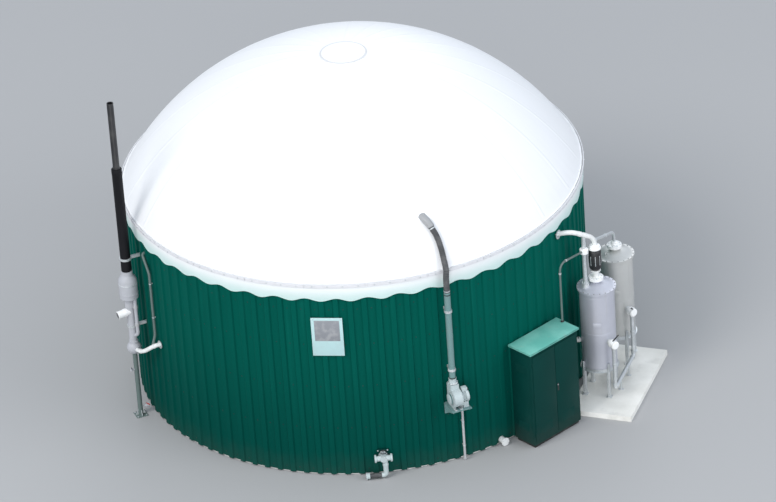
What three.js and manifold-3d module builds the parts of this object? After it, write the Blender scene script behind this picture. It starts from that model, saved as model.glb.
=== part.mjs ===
// A round farm biogas digester: an insulated concrete tank clad in ribbed green sheet, under a white
// air-supported membrane dome, with its support-air blower, relief valve and vent stack, control
// cabinet, and two gas filter vessels on their own pad.
// Millimetres, +Z up. The origin is on the tank's axis at ground level. -Y is the front, with the sign.

import * as THREE from "three";
import Module from "manifold-3d";
import { mergeVertices } from "three/addons/utils/BufferGeometryUtils.js";

const wasm = await Module();
wasm.setup();

// Driving dimensions: the tank, its sheet, rim and dome
const GAP = 0.3;
const FACET = 5;
const SLAB_HEIGHT = 150;
const WALL_INNER = 3870;
const WALL_OUTER = 4120;
const WALL_TOP = 3950;
const SHEET_TROUGH = 4140;
const SHEET_CREST = 4170;
const SHEET_BOTTOM = 30;
const SHEET_TOP = 3880;
const RIB_COUNT = 104;
const RIB_CORNERS = [[0, 0], [0.5, 0], [0.58, 1], [0.92, 1]];
const RIM_TOP = 3960;
const RIM_OUTER = 4174;
const SKIRT_INNER = 4175;
const SKIRT_OUTER = 4190;
const SKIRT_TOP = 3957;
const SKIRT_BOTTOM = 3610;
const SCALLOPS = 48;
const SCALLOP_DEPTH = 60;
const RAIL_HEIGHT = 60;
const RAIL_OUTER = 4218;
const DOME_RADIUS = 4150;
const DOME_RISE = 2350;
const DOME_THICKNESS = 20;
const DOME_STEPS = 9;
const CROWN_RADIUS = 430;
const CROWN_THICKNESS = 21;

// Driving dimensions: the sign
const SIGN_AZIMUTH = -100.2;
const SIGN_WIDTH = 560;
const SIGN_HEIGHT = 770;
const SIGN_CENTRE_Z = 2900;
const SIGN_THICKNESS = 8;
const SIGN_STAND_OFF = 22;
const SIGN_RAIL = 50;
const SIGN_RAIL_DEPTH = 60;

// Driving dimensions: the support-air blower, its riser and its hose
const AIR_AZIMUTH = -71;
const RISER_REACH = 4296;
const RISER_RADIUS = 58;
const RISER_TOP = 3560;
const CLIP_HEIGHTS = [1980, 3180];
const CLIP_DEPTH = 44;
const ARM_WIDTH = 56;
const COLLAR_WALL = 14;
const SHELF_Z = 1250;
const SHELF_ALONG = 50;
const SHELF_WIDTH = 370;
const SHELF_DEPTH = 390;
const SHELF_SHEET = 8;
const SHELF_BACK = 210;
const FAN_RADIUS = 190;
const FAN_HALF_WIDTH = 85;
const FAN_OFF_WALL = 40;
const FAN_FOOT = 10;
const FAN_NECK_RADIUS = 75;
const FAN_OUTLET_RISE = 350;
const MOTOR_RADIUS = 115;
const MOTOR_LENGTH = 150;
const INTAKE_RADIUS = 100;
const INTAKE_LENGTH = 50;
const HOSE_RADIUS = 56;
const CONDUIT_ALONG = 170;
const CONDUIT_REACH = 4235;
const CONDUIT_RADIUS = 24;

// Driving dimensions: the control cabinet
const CABINET_YAW = -49.5;
const CABINET_SHIFT = 260;
const CABINET_WIDTH = 1240;
const CABINET_DEPTH = 560;
const CABINET_HEIGHT = 1990;
const CABINET_BACK = 4186;
const CABINET_EAVE = 30;
const CABINET_PLINTH = 60;
const CABINET_ROOF = 40;
const CABINET_DOOR = 18;

// Driving dimensions: the relief valve and its vent stack
const STACK_AZIMUTH = -161;
const STACK_REACH = 4440;
const STACK_TOP = 6460;
const STACK_STEP_Z = 5140;
const STACK_LOWER_RADIUS = 95;
const STACK_UPPER_RADIUS = 63;
const POT_RADIUS = 175;
const POT_NECK_RADIUS = 95;
const POT_BOTTOM = 2300;
const POT_TOP = 3050;
const RELIEF_TUBE_RADIUS = 72;
const BALL_RADIUS = 130;
const BALL_Z = 1440;
const STACK_BRACKETS = [[3300, STACK_LOWER_RADIUS], [1900, RELIEF_TUBE_RADIUS]];
const POST_RADIUS = 45;
const POST_PLATE = 220;
const TAP_Z = 980;
const TAP_REACH = 110;
const COCK_Z = 160;
const COCK_REACH = 190;
const SIPHON_RADIUS = 35;
const SIPHON_OUT = -60;
const SIPHON_ALONG = 120;
const OUTLET_RADIUS = 75;
const OUTLET_REACH = 250;
const INLET_AZIMUTH = -153.1;
const INLET_Z = 1705;
const INLET_RADIUS = 40;
const LINE_START_AZIMUTH = -157.5;
const LINE_START_Z = 3460;
const LINE_RADIUS = 26;
const KNEE_AZIMUTH = INLET_AZIMUTH - 1.1;
const KNEE_Z = INLET_Z - 50;

// Driving dimensions: the gas filters on their pad
const PAD_AZIMUTH = -22.3;
const PAD_INNER = 4290;
const PAD_OUTER = 5460;
const PAD_HALF_LENGTH = 1190;
const PAD_HEIGHT = 100;
const FILTERS = [{ reach: 4660, along: -375 }, { reach: 4660, along: 800 }];
const FILTER_RADIUS = 320;
const FILTER_FLANGE = 35;
const FILTER_BOTTOM = 620;
const FILTER_TOP = 2250;
const FILTER_CAP_Z = 2450;
const CAP_FLANGE_RADIUS = 135;
const LEG_SIZE = 60;
const LEG_PLATE = 100;
const LEG_TOP = 800;
const BAND_Z = 640;
const BAND_HEIGHT = 60;
const BAND_WALL = 30;
const VALVE_ANGLE = -37;
const VALVE_REACH = 450;
const VALVE_Z = 1250;
const VALVE_RADIUS = 80;
const FILTER_TAP_Z = 1180;
const LINK_Z = 330;
const LINK_RADIUS = 38;
const ELBOW_LENGTH = 90;
const ARRESTER_Z = 2620;
const ARRESTER_TOP = 3050;
const ARRESTER_RADIUS = 115;
const UNION_RADIUS = 115;
const UNION_HEIGHT = 85;
const GAS_AZIMUTH = -32.4;
const GAS_WALL_Z = 3470;
const GAS_TOP_Z = 3270;
const GAS_RADIUS = 45;
const DROP_SHARE = 0.52;
const DROP_RADIUS = 42;
const DROP_COLLAR = 70;
const DROP_COLLAR_TOP = 2420;
const DROP_UNION = 80;
const DROP_UNION_Z = 3065;
const DROP_UNION_HALF = 45;
const DROP_BELOW = 15;
const BYPASS_RADIUS = 30;
const BYPASS_START_Z = 3220;
const BYPASS_BEND_Z = 2730;
const SAMPLE_RADIUS = 20;
const SAMPLE_TOP_Z = 3180;

// Driving dimensions: the drain and the stub at the foot of the wall
const DRAIN_AZIMUTH = -89;
const DRAIN_Z = 420;
const DRAIN_RADIUS = 62;
const DRAIN_PLATE = 220;
const DRAIN_REACH = 150;
const DRAIN_ARM = 160;
const DRAIN_CAP = 35;
const DRAIN_LEG = 30;
const LEG_PIPE_RADIUS = 47;
const COUPLING_Z = 75;
const COUPLING_END = 330;
const COUPLING_LENGTH = 70;
const STUB_AZIMUTH = -57.5;
const STUB_Z = 85;
const STUB_RADIUS = 60;
const STUB_REACH = 110;

// Finishes
const finish = (color, roughness, metalness = 0) =>
  new THREE.MeshStandardMaterial({ color, roughness, metalness });
const concrete = () => finish(0xb9b6ae, 0.9);
const greenSheet = () => finish(0x05543f, 0.45, 0.2);
const paleGreenSheet = () => finish(0x6dbcae, 0.5);
const membrane = () => finish(0xf4f6f5, 0.5);
const galvanised = () => finish(0xa9adaf, 0.45, 0.7);
const whitePlastic = () => finish(0xe6e8e6, 0.4);
const blackPipe = () => finish(0x16171a, 0.5);

const digester = new THREE.Group();

function add(name, geometry, material, parent = digester) {
  const piece = new THREE.Mesh(geometry, material);
  piece.name = name;
  parent.add(piece);
  return piece;
}

// Places
const radians = THREE.MathUtils.degToRad;
const point = (x, y, z) => new THREE.Vector3(x, y, z);
const polar = (radius, azimuth, z = 0) =>
  point(radius * Math.cos(radians(azimuth)), radius * Math.sin(radians(azimuth)), z);
const turnTo = (azimuth) => new THREE.Matrix4().makeRotationZ(radians(azimuth));

// A group at an azimuth: its +X points away from the tank, its +Y runs along the wall.
function station(azimuth) {
  const group = new THREE.Group();
  group.rotation.z = radians(azimuth);
  digester.add(group);
  return group;
}

// Solids, for cuts and joins
function toSolid(geometry, matrix = new THREE.Matrix4()) {
  const bare = geometry.clone().applyMatrix4(matrix);
  bare.deleteAttribute("normal");
  bare.deleteAttribute("uv");
  const merged = mergeVertices(bare, 1e-3);
  return new wasm.Manifold(new wasm.Mesh({
    numProp: 3,
    vertProperties: new Float32Array(merged.attributes.position.array),
    triVerts: new Uint32Array(merged.index.array),
  }));
}

function toGeometry(solid) {
  const mesh = solid.getMesh();
  const geometry = new THREE.BufferGeometry();
  geometry.setAttribute("position", new THREE.BufferAttribute(mesh.vertProperties, 3));
  geometry.setIndex(new THREE.BufferAttribute(mesh.triVerts, 1));
  geometry.computeVertexNormals();
  return geometry;
}

const fuse = (...geometries) =>
  toGeometry(geometries.map((g) => toSolid(g)).reduce((a, b) => a.add(b)));
const cut = (geometry, ...tools) =>
  toGeometry(tools.reduce((solid, tool) => solid.subtract(toSolid(tool)), toSolid(geometry)));

// Shapes
function moved(geometry, x, y = 0, z = 0) {
  geometry.translate(x, y, z);
  return geometry;
}

function extrude(points, height, bottom = 0) {
  const shape = new THREE.Shape(points);
  const geometry = new THREE.ExtrudeGeometry(shape, { depth: height, bevelEnabled: false });
  return moved(geometry, 0, 0, bottom);
}

function arc(radius, start, end) {
  const count = Math.round(Math.abs(end - start) / FACET);
  return Array.from({ length: count + 1 }, (_, i) => {
    const angle = radians(start + ((end - start) * i) / count);
    return new THREE.Vector2(radius * Math.cos(angle), radius * Math.sin(angle));
  });
}

function turned(profile, segments) {
  const geometry = new THREE.LatheGeometry(profile.map(([r, z]) => new THREE.Vector2(r, z)), segments);
  geometry.rotateX(Math.PI / 2);
  return geometry;
}

function upright(radius, bottom, top, segments = 16) {
  const geometry = new THREE.CylinderGeometry(radius, radius, top - bottom, segments);
  geometry.rotateX(Math.PI / 2);
  return moved(geometry, 0, 0, (top + bottom) / 2);
}

function bar(from, to, radius, segments = 12) {
  const along = new THREE.Vector3().subVectors(to, from);
  const geometry = new THREE.CylinderGeometry(radius, radius, along.length(), segments);
  geometry.applyQuaternion(new THREE.Quaternion().setFromUnitVectors(
    new THREE.Vector3(0, 1, 0), along.clone().normalize()));
  return moved(geometry, ...from.clone().add(to).multiplyScalar(0.5).toArray());
}

const box = (width, depth, height, x, y, z) =>
  moved(new THREE.BoxGeometry(width, depth, height), x, y, z);
const ball = (radius, x, y, z) => moved(new THREE.SphereGeometry(radius, 14, 10), x, y, z);

function sweep(path, radius, steps, sides) {
  const section = new THREE.Shape(Array.from({ length: sides }, (_, i) => {
    const angle = (2 * Math.PI * i) / sides;
    return new THREE.Vector2(radius * Math.cos(angle), radius * Math.sin(angle));
  }));
  return new THREE.ExtrudeGeometry(section, { steps, extrudePath: path, bevelEnabled: false });
}

// A pipe through straight runs joined by round bends, from one end to the other.
function pipe(points, radius, bend, steps, sides = 8) {
  const path = new THREE.CurvePath();
  let last = points[0];
  for (let i = 1; i < points.length - 1; i += 1) {
    const corner = points[i];
    const before = corner.clone().add(points[i - 1].clone().sub(corner).setLength(bend));
    const after = corner.clone().add(points[i + 1].clone().sub(corner).setLength(bend));
    path.add(new THREE.LineCurve3(last, before));
    path.add(new THREE.QuadraticBezierCurve3(before, corner, after));
    last = after;
  }
  path.add(new THREE.LineCurve3(last, points[points.length - 1]));
  return sweep(path, radius, steps, sides);
}

// The tank: floor slab, insulated concrete wall in quarters, ribbed sheet in quarters
const QUARTERS = [0, 90, 180, 270];

add("floor_slab", upright(WALL_OUTER, 0, SLAB_HEIGHT, 360 / FACET), concrete());

QUARTERS.forEach((start, index) => {
  const outline = [...arc(WALL_OUTER, start, start + 90), ...arc(WALL_INNER, start + 90, start)];
  add(`wall_${index + 1}`, extrude(outline, WALL_TOP - SLAB_HEIGHT, SLAB_HEIGHT), concrete());
});

// The outline of a quarter of ribbed sheet; grow moves its outer side outwards for a clearance.
function sheetOutline(start, grow) {
  const outer = [];
  for (let rib = 0; rib < RIB_COUNT / QUARTERS.length; rib += 1) {
    for (const [share, up] of RIB_CORNERS) {
      const radius = (up ? SHEET_CREST : SHEET_TROUGH) + grow;
      const corner = polar(radius, start + ((rib + share) * 360) / RIB_COUNT);
      outer.push(new THREE.Vector2(corner.x, corner.y));
    }
  }
  const last = polar(SHEET_TROUGH + grow, start + 90);
  return [...outer, new THREE.Vector2(last.x, last.y), ...arc(WALL_OUTER + GAP, start + 90, start)];
}

const sheetBlock = (start, grow = 0) =>
  extrude(sheetOutline(start, grow), SHEET_TOP - SHEET_BOTTOM, SHEET_BOTTOM);

QUARTERS.forEach((start, index) => {
  add(`cladding_${index + 1}`, sheetBlock(start), greenSheet());
});

// What hangs on the wall is cut to the sheet's ribs, so that it sits on them.
const wallCore = upright((WALL_OUTER + SHEET_TROUGH) / 2, 0, WALL_TOP, 360 / FACET);
const sheetCut = QUARTERS
  .map((start) => toSolid(sheetBlock(start, GAP)))
  .reduce((a, b) => a.add(b))
  .add(toSolid(wallCore));

const seatOnWall = (geometry, azimuth = 0) =>
  toGeometry(toSolid(geometry, turnTo(azimuth)).subtract(sheetCut));

// The rim: an edge ring, the membrane's scalloped skirt and the rail that clamps it
function closedRing(inner, outer, bottom, top) {
  const profile = [[inner, bottom], [outer, bottom], [outer, top], [inner, top], [inner, bottom]];
  return turned(profile, 360 / FACET);
}

add("rim_ring", closedRing(WALL_OUTER + GAP, RIM_OUTER, SHEET_TOP + GAP, RIM_TOP), greenSheet());

// Four columns of corners to a scallop; its lower edge follows a squared cosine.
function scallopedSkirt() {
  const columns = SCALLOPS * 4;
  const positions = [];
  const faces = [];
  for (let i = 0; i < columns; i += 1) {
    const turn = (2 * Math.PI * i) / columns;
    const low = SKIRT_BOTTOM + SCALLOP_DEPTH * Math.cos((Math.PI * (i % 4)) / 4) ** 2;
    const corners = [
      [SKIRT_INNER, low], [SKIRT_OUTER, low], [SKIRT_OUTER, SKIRT_TOP], [SKIRT_INNER, SKIRT_TOP],
    ];
    for (const [radius, z] of corners) {
      positions.push(radius * Math.cos(turn), radius * Math.sin(turn), z);
    }
    const here = 4 * i;
    const next = 4 * ((i + 1) % columns);
    for (let side = 0; side < 4; side += 1) {
      const other = (side + 1) % 4;
      faces.push(here + side, next + side, next + other, here + side, next + other, here + other);
    }
  }
  const geometry = new THREE.BufferGeometry();
  geometry.setAttribute("position", new THREE.Float32BufferAttribute(positions, 3));
  geometry.setIndex(faces);
  geometry.computeVertexNormals();
  return geometry;
}

add("membrane_skirt", scallopedSkirt(), membrane());

const RAIL_INNER = SKIRT_OUTER / Math.cos(radians(FACET / 2)) + GAP;
add("clamp_rail", closedRing(RAIL_INNER, RAIL_OUTER, SKIRT_TOP - RAIL_HEIGHT, SKIRT_TOP), galvanised());

// The dome: a spherical cap, an open-bottomed shell that sits on the rim ring, and its crown disc
const SPHERE = (DOME_RADIUS ** 2 + DOME_RISE ** 2) / (2 * DOME_RISE);
const DOME_BASE = RIM_TOP + GAP;
const SPHERE_Z = DOME_BASE + DOME_RISE - SPHERE;
const OUTER_EDGE = Math.asin(DOME_RADIUS / SPHERE);
const INNER_EDGE = Math.acos((DOME_BASE - SPHERE_Z) / (SPHERE - DOME_THICKNESS));

// A point over the dome: polar angle from the top in degrees, and the height off the skin.
function overDome(fromTop, azimuth, off) {
  const reach = (SPHERE + off) * Math.sin(radians(fromTop));
  return polar(reach, azimuth, SPHERE_Z + (SPHERE + off) * Math.cos(radians(fromTop)));
}

// An arc of a meridian between two polar angles; a point at angle 0 lies on the axis.
function meridian(radius, from, to, steps) {
  return Array.from({ length: steps + 1 }, (_, i) => {
    const angle = from + ((to - from) * i) / steps;
    return [angle === 0 ? 0 : radius * Math.sin(angle), SPHERE_Z + radius * Math.cos(angle)];
  });
}

const domeShell = turned([
  ...meridian(SPHERE - DOME_THICKNESS, 0, INNER_EDGE, DOME_STEPS),
  ...meridian(SPHERE, OUTER_EDGE, 0, DOME_STEPS),
], 360 / FACET);
add("dome_membrane", domeShell, membrane());

const CROWN_EDGE = Math.asin(CROWN_RADIUS / SPHERE);
const crown = turned([
  ...meridian(SPHERE + 1, 0, CROWN_EDGE, 2),
  ...meridian(SPHERE + 1 + CROWN_THICKNESS, CROWN_EDGE * 0.93, 0, 2),
], 36);
add("crown_disc", crown, membrane());

// The sign: a bare plate on a frame that sits on the ribs
const SIGN_FACE = SHEET_CREST + SIGN_STAND_OFF;
const SIGN_RAIL_X = SIGN_FACE - SIGN_THICKNESS - GAP - SIGN_RAIL_DEPTH / 2;
const signBar = (width, height, z) => box(SIGN_RAIL_DEPTH, width, height, SIGN_RAIL_X, 0, z);
const signFrame = fuse(
  signBar(SIGN_WIDTH - 40, SIGN_RAIL, SIGN_CENTRE_Z + SIGN_HEIGHT * 0.35),
  signBar(SIGN_WIDTH - 40, SIGN_RAIL, SIGN_CENTRE_Z - SIGN_HEIGHT * 0.35),
  signBar(SIGN_RAIL, SIGN_HEIGHT * 0.75, SIGN_CENTRE_Z),
);
const signPlate = box(SIGN_THICKNESS, SIGN_WIDTH, SIGN_HEIGHT,
  SIGN_FACE - SIGN_THICKNESS / 2, 0, SIGN_CENTRE_Z);
add("sign_frame", seatOnWall(signFrame, SIGN_AZIMUTH), galvanised());
add("sign_plate", signPlate, whitePlastic(), station(SIGN_AZIMUTH));

// The support-air blower on its shelf
const air = station(AIR_AZIMUTH);
const FAN_REACH = SHEET_CREST + FAN_OFF_WALL + FAN_RADIUS;
const FAN_Z = SHELF_Z + GAP + FAN_FOOT + FAN_RADIUS;
const FAN_OUTLET = FAN_Z + FAN_OUTLET_RISE;
const SHELF_REACH = SHEET_CREST + SHELF_DEPTH;
const onFanAxis = (along) => point(FAN_REACH, along, FAN_Z);
const footBlock = (width, depth, along) =>
  box(width, depth, FAN_RADIUS, FAN_REACH, along, SHELF_Z + GAP + FAN_RADIUS / 2);

const shelfSheet = box(SHELF_REACH - SHEET_TROUGH, SHELF_WIDTH, SHELF_SHEET,
  (SHELF_REACH + SHEET_TROUGH) / 2, SHELF_ALONG, SHELF_Z - SHELF_SHEET / 2);
const shelfBack = box(50, SHELF_WIDTH, SHELF_BACK, SHEET_TROUGH + 20, SHELF_ALONG, SHELF_Z - SHELF_BACK / 2);
const shelfKnee = (side) => moved(extrude([
  new THREE.Vector2(SHEET_TROUGH, 0),
  new THREE.Vector2(SHELF_REACH - 30, 0),
  new THREE.Vector2(SHELF_REACH - 30, -40),
  new THREE.Vector2(SHEET_TROUGH, 20 - SHELF_BACK),
], SHELF_SHEET).rotateX(Math.PI / 2), 0, SHELF_ALONG + side * (SHELF_WIDTH / 2 - 30), SHELF_Z - 1);
add("blower_shelf", seatOnWall(fuse(shelfSheet, shelfBack, shelfKnee(-1), shelfKnee(1)), AIR_AZIMUTH),
  galvanised());

const fan = fuse(
  bar(onFanAxis(-FAN_HALF_WIDTH), onFanAxis(FAN_HALF_WIDTH), FAN_RADIUS, 28),
  footBlock(260, 140, 0),
  moved(upright(FAN_NECK_RADIUS, FAN_Z, FAN_OUTLET, 20), RISER_REACH),
);
const MOTOR_MIDDLE = FAN_HALF_WIDTH + MOTOR_LENGTH / 2;
const motor = fuse(
  bar(onFanAxis(FAN_HALF_WIDTH + GAP), onFanAxis(FAN_HALF_WIDTH + MOTOR_LENGTH), MOTOR_RADIUS, 20),
  footBlock(150, 110, MOTOR_MIDDLE),
  box(100, 100, 80, FAN_REACH, MOTOR_MIDDLE, FAN_Z + MOTOR_RADIUS + 10),
);
const intake = bar(onFanAxis(-FAN_HALF_WIDTH - GAP), onFanAxis(-FAN_HALF_WIDTH - INTAKE_LENGTH),
  INTAKE_RADIUS, 20);
add("blower_fan", fan, whitePlastic(), air);
add("blower_motor", motor, galvanised(), air);
add("intake_filter", intake, whitePlastic(), air);
add("blower_conduit", moved(upright(CONDUIT_RADIUS, 20, SHELF_Z - SHELF_SHEET - GAP, 10),
  CONDUIT_REACH, CONDUIT_ALONG), galvanised(), air);

// The riser up the wall, held by two clips
add("air_riser", moved(upright(RISER_RADIUS, FAN_OUTLET + GAP, RISER_TOP, 20), RISER_REACH),
  galvanised(), air);

// A collar round an upright pipe, with an arm that sits on the wall's ribs
function wallCollar(reach, radius, z, azimuth) {
  const collar = fuse(
    box(reach - SHEET_TROUGH, ARM_WIDTH, CLIP_DEPTH, (reach + SHEET_TROUGH) / 2, 0, z),
    moved(upright(radius + COLLAR_WALL, z - CLIP_DEPTH / 2, z + CLIP_DEPTH / 2, 20), reach),
  );
  const bore = moved(upright(radius + GAP, z - CLIP_DEPTH, z + CLIP_DEPTH, 20), reach);
  return seatOnWall(cut(collar, bore), azimuth);
}

CLIP_HEIGHTS.forEach((z, index) => {
  add(`riser_clip_${index + 1}`, wallCollar(RISER_REACH, RISER_RADIUS, z, AIR_AZIMUTH), galvanised());
});

// The hose goes over the rim and lies on the dome.
const HOSE_OFF = HOSE_RADIUS + 1;
const hosePath = new THREE.CatmullRomCurve3([
  polar(RISER_REACH, AIR_AZIMUTH, RISER_TOP + GAP),
  polar(RISER_REACH, AIR_AZIMUTH, RISER_TOP + 140),
  polar(RISER_REACH + 4, AIR_AZIMUTH, RISER_TOP + 300),
  polar(RISER_REACH - 8, AIR_AZIMUTH + 0.2, RISER_TOP + 430),
  overDome(57.4, AIR_AZIMUTH + 0.6, HOSE_OFF + 26),
  overDome(54.7, AIR_AZIMUTH + 0.8, HOSE_OFF + 4),
  overDome(52.2, AIR_AZIMUTH + 0.6, HOSE_OFF),
  overDome(50.2, AIR_AZIMUTH - 0.1, HOSE_OFF),
], false, "centripetal");
add("air_hose", sweep(hosePath, HOSE_RADIUS, 22, 12), blackPipe());

// The sleeve that the hose is strapped into, laid on the dome and cut to it
const hoseEnd = hosePath.getPoint(1);
const hoseRun = hosePath.getTangent(1);
const pastHose = (distance) => hoseEnd.clone().add(hoseRun.clone().multiplyScalar(distance));
const sleevePath = new THREE.QuadraticBezierCurve3(
  pastHose(GAP),
  pastHose(130),
  overDome(47.3, AIR_AZIMUTH - 1.4, -40),
);
const domeBall = turned([
  [0, DOME_BASE - 400],
  ...meridian(SPHERE + GAP, OUTER_EDGE, 0, DOME_STEPS),
], 360 / FACET);
add("dome_inlet_sleeve", cut(sweep(sleevePath, HOSE_RADIUS + 14, 6, 16), domeBall), membrane());

// The control cabinet beside the wall
const cabinet = station(CABINET_YAW);
const BODY_DEPTH = CABINET_DEPTH - 2 * CABINET_EAVE;
const BODY_WIDTH = CABINET_WIDTH - 2 * CABINET_EAVE;
const BODY_HEIGHT = CABINET_HEIGHT - CABINET_ROOF - CABINET_PLINTH;
const BODY_X = CABINET_BACK + CABINET_EAVE + BODY_DEPTH / 2;
const BODY_Z = CABINET_PLINTH + BODY_HEIGHT / 2;
const plinth = box(BODY_DEPTH - 60, BODY_WIDTH - 60, CABINET_PLINTH + 20,
  BODY_X, CABINET_SHIFT, (CABINET_PLINTH + 20) / 2);
add("cabinet_body", fuse(box(BODY_DEPTH, BODY_WIDTH, BODY_HEIGHT, BODY_X, CABINET_SHIFT, BODY_Z), plinth),
  greenSheet(), cabinet);
add("cabinet_door", box(CABINET_DOOR, BODY_WIDTH - 70, BODY_HEIGHT - 120,
  BODY_X + (BODY_DEPTH + CABINET_DOOR) / 2 + GAP, CABINET_SHIFT, BODY_Z), greenSheet(), cabinet);
add("cabinet_roof", box(CABINET_DEPTH, CABINET_WIDTH, CABINET_ROOF - GAP,
  CABINET_BACK + CABINET_DEPTH / 2, CABINET_SHIFT, CABINET_HEIGHT - (CABINET_ROOF - GAP) / 2),
paleGreenSheet(), cabinet);

// The relief valve: a post, a ball with a tube above it, a pot on top and the vent stack out of it
const stack = station(STACK_AZIMUTH);
const onStack = (geometry) => moved(geometry, STACK_REACH);
const stackPoint = (outward, along, z) => point(STACK_REACH + outward, along, z);
const reliefBall = (grow = 0) => ball(BALL_RADIUS + grow, STACK_REACH, 0, BALL_Z);
const reliefTube = (grow = 0) =>
  onStack(upright(RELIEF_TUBE_RADIUS + grow, BALL_Z - BALL_RADIUS + GAP, POT_BOTTOM - GAP, 20));
const POT_PROFILE = [
  [0, POT_BOTTOM], [POT_NECK_RADIUS, POT_BOTTOM], [POT_NECK_RADIUS, POT_BOTTOM + 170],
  [POT_RADIUS, POT_BOTTOM + 190], [POT_RADIUS, POT_TOP - 190], [POT_NECK_RADIUS + 10, POT_TOP - 90],
  [POT_NECK_RADIUS + 10, POT_TOP], [0, POT_TOP],
];
const reliefPot = (grow = 0) =>
  onStack(turned(POT_PROFILE.map(([r, z]) => [r > 0 ? r + grow : 0, z]), 20));

// The post carries a level tap on its outer side and a drain cock on its inner side.
add("relief_post", fuse(
  onStack(upright(POST_RADIUS, 12, BALL_Z - BALL_RADIUS)),
  onStack(box(POST_PLATE, POST_PLATE, 14, 0, 0, 7)),
  bar(stackPoint(0, 0, TAP_Z), stackPoint(TAP_REACH, 0, TAP_Z), 18, 10),
  ball(30, STACK_REACH + TAP_REACH, 0, TAP_Z),
  bar(stackPoint(0, 0, COCK_Z), stackPoint(-COCK_REACH, 0, COCK_Z), 20, 10),
  ball(38, STACK_REACH - COCK_REACH + 60, 0, COCK_Z),
), galvanised(), stack);

// The tee's two branches: a siphon up to the pot's underside, and the outlet spout.
const siphon = pipe([
  stackPoint(SIPHON_OUT, SIPHON_ALONG, POT_BOTTOM + 230),
  stackPoint(SIPHON_OUT, SIPHON_ALONG, BALL_Z + 310),
  stackPoint(0, 0, BALL_Z + 250),
], SIPHON_RADIUS, 60, 8, 10);
const spout = bar(stackPoint(0, 0, POT_BOTTOM - 90), stackPoint(OUTLET_REACH, 0, POT_BOTTOM - 130),
  OUTLET_RADIUS, 14);
const reliefTee = cut(fuse(reliefBall(), reliefTube(), siphon, spout), reliefPot(GAP));
add("relief_tee", reliefTee, whitePlastic(), stack);
add("relief_pot", reliefPot(), whitePlastic(), stack);

const stackPipe = (radius, bottom, top) => onStack(upright(radius, bottom + GAP, top, 20));
add("vent_stack_lower", stackPipe(STACK_LOWER_RADIUS, POT_TOP, STACK_STEP_Z), blackPipe(), stack);
add("vent_stack_upper", stackPipe(STACK_UPPER_RADIUS, STACK_STEP_Z, STACK_TOP), blackPipe(), stack);

// One bracket holds the stack over the pot, the other the tube under it.
STACK_BRACKETS.forEach(([z, radius], index) => {
  add(`stack_bracket_${index + 1}`, wallCollar(STACK_REACH, radius, z, STACK_AZIMUTH), galvanised());
});

// The relief valve's gas inlet rises from the ball to the wall, and the pressure line comes down to it.
const knee = polar(SHEET_CREST + 120, KNEE_AZIMUTH, KNEE_Z);
const inletPath = new THREE.CatmullRomCurve3([
  polar(STACK_REACH, STACK_AZIMUTH, BALL_Z),
  polar(STACK_REACH - 22, STACK_AZIMUTH + 2.4, BALL_Z + 12),
  polar(STACK_REACH - 52, STACK_AZIMUTH + 4.8, BALL_Z + 90),
  knee,
  polar(SHEET_CREST + 75, INLET_AZIMUTH - 0.2, INLET_Z),
  polar(SHEET_TROUGH - 10, INLET_AZIMUTH, INLET_Z),
], false, "centripetal");
const inlet = (grow = 0) => sweep(inletPath, INLET_RADIUS + grow, 26, 10);
const ballOnGround = reliefBall(GAP).applyMatrix4(turnTo(STACK_AZIMUTH));
add("relief_inlet", seatOnWall(cut(inlet(), ballOnGround)), whitePlastic());

const LINE_REACH = SHEET_CREST + 42;
const pressureLine = pipe([
  polar(SHEET_TROUGH - 10, LINE_START_AZIMUTH, LINE_START_Z),
  polar(LINE_REACH, LINE_START_AZIMUTH, LINE_START_Z - 5),
  polar(LINE_REACH, KNEE_AZIMUTH, LINE_START_Z - 310),
  polar(LINE_REACH, KNEE_AZIMUTH, KNEE_Z + 230),
  knee,
], LINE_RADIUS, 50, 26, 8);
add("pressure_line", seatOnWall(cut(pressureLine, inlet(GAP))), whitePlastic());

// The gas filters on their pad
const yard = station(PAD_AZIMUTH);
add("filter_pad", box(PAD_OUTER - PAD_INNER, 2 * PAD_HALF_LENGTH, PAD_HEIGHT,
  (PAD_OUTER + PAD_INNER) / 2, 0, PAD_HEIGHT / 2), concrete(), yard);

const FLANGE_RADIUS = FILTER_RADIUS + FILTER_FLANGE;
const VESSEL_PROFILE = [
  [0, FILTER_BOTTOM - 90], [170, FILTER_BOTTOM - 60], [FILTER_RADIUS, FILTER_BOTTOM + 20],
  [FILTER_RADIUS, FILTER_TOP], [FLANGE_RADIUS, FILTER_TOP], [FLANGE_RADIUS, FILTER_TOP + 40],
  [FILTER_RADIUS - 10, FILTER_TOP + 50], [180, FILTER_TOP + 110], [75, FILTER_TOP + 130],
  [75, FILTER_CAP_Z - 30], [CAP_FLANGE_RADIUS, FILTER_CAP_Z - 30],
  [CAP_FLANGE_RADIUS, FILTER_CAP_Z], [0, FILTER_CAP_Z],
];
const LEG_ANGLES = [45, 135, 225, 315];

function filterLegs() {
  const legs = LEG_ANGLES.map((angle) => {
    const foot = polar(FILTER_RADIUS, angle);
    return fuse(
      box(LEG_SIZE, LEG_SIZE, LEG_TOP - PAD_HEIGHT, foot.x, foot.y, (LEG_TOP + PAD_HEIGHT) / 2),
      box(LEG_PLATE, LEG_PLATE, 12, foot.x, foot.y, PAD_HEIGHT + 6),
    );
  });
  const band = closedRing(FILTER_RADIUS - 20, FILTER_RADIUS + BAND_WALL, BAND_Z, BAND_Z + BAND_HEIGHT);
  return cut(fuse(band, ...legs), upright(FILTER_RADIUS + GAP, FILTER_BOTTOM - 100, LEG_TOP + 100, 24));
}

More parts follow.
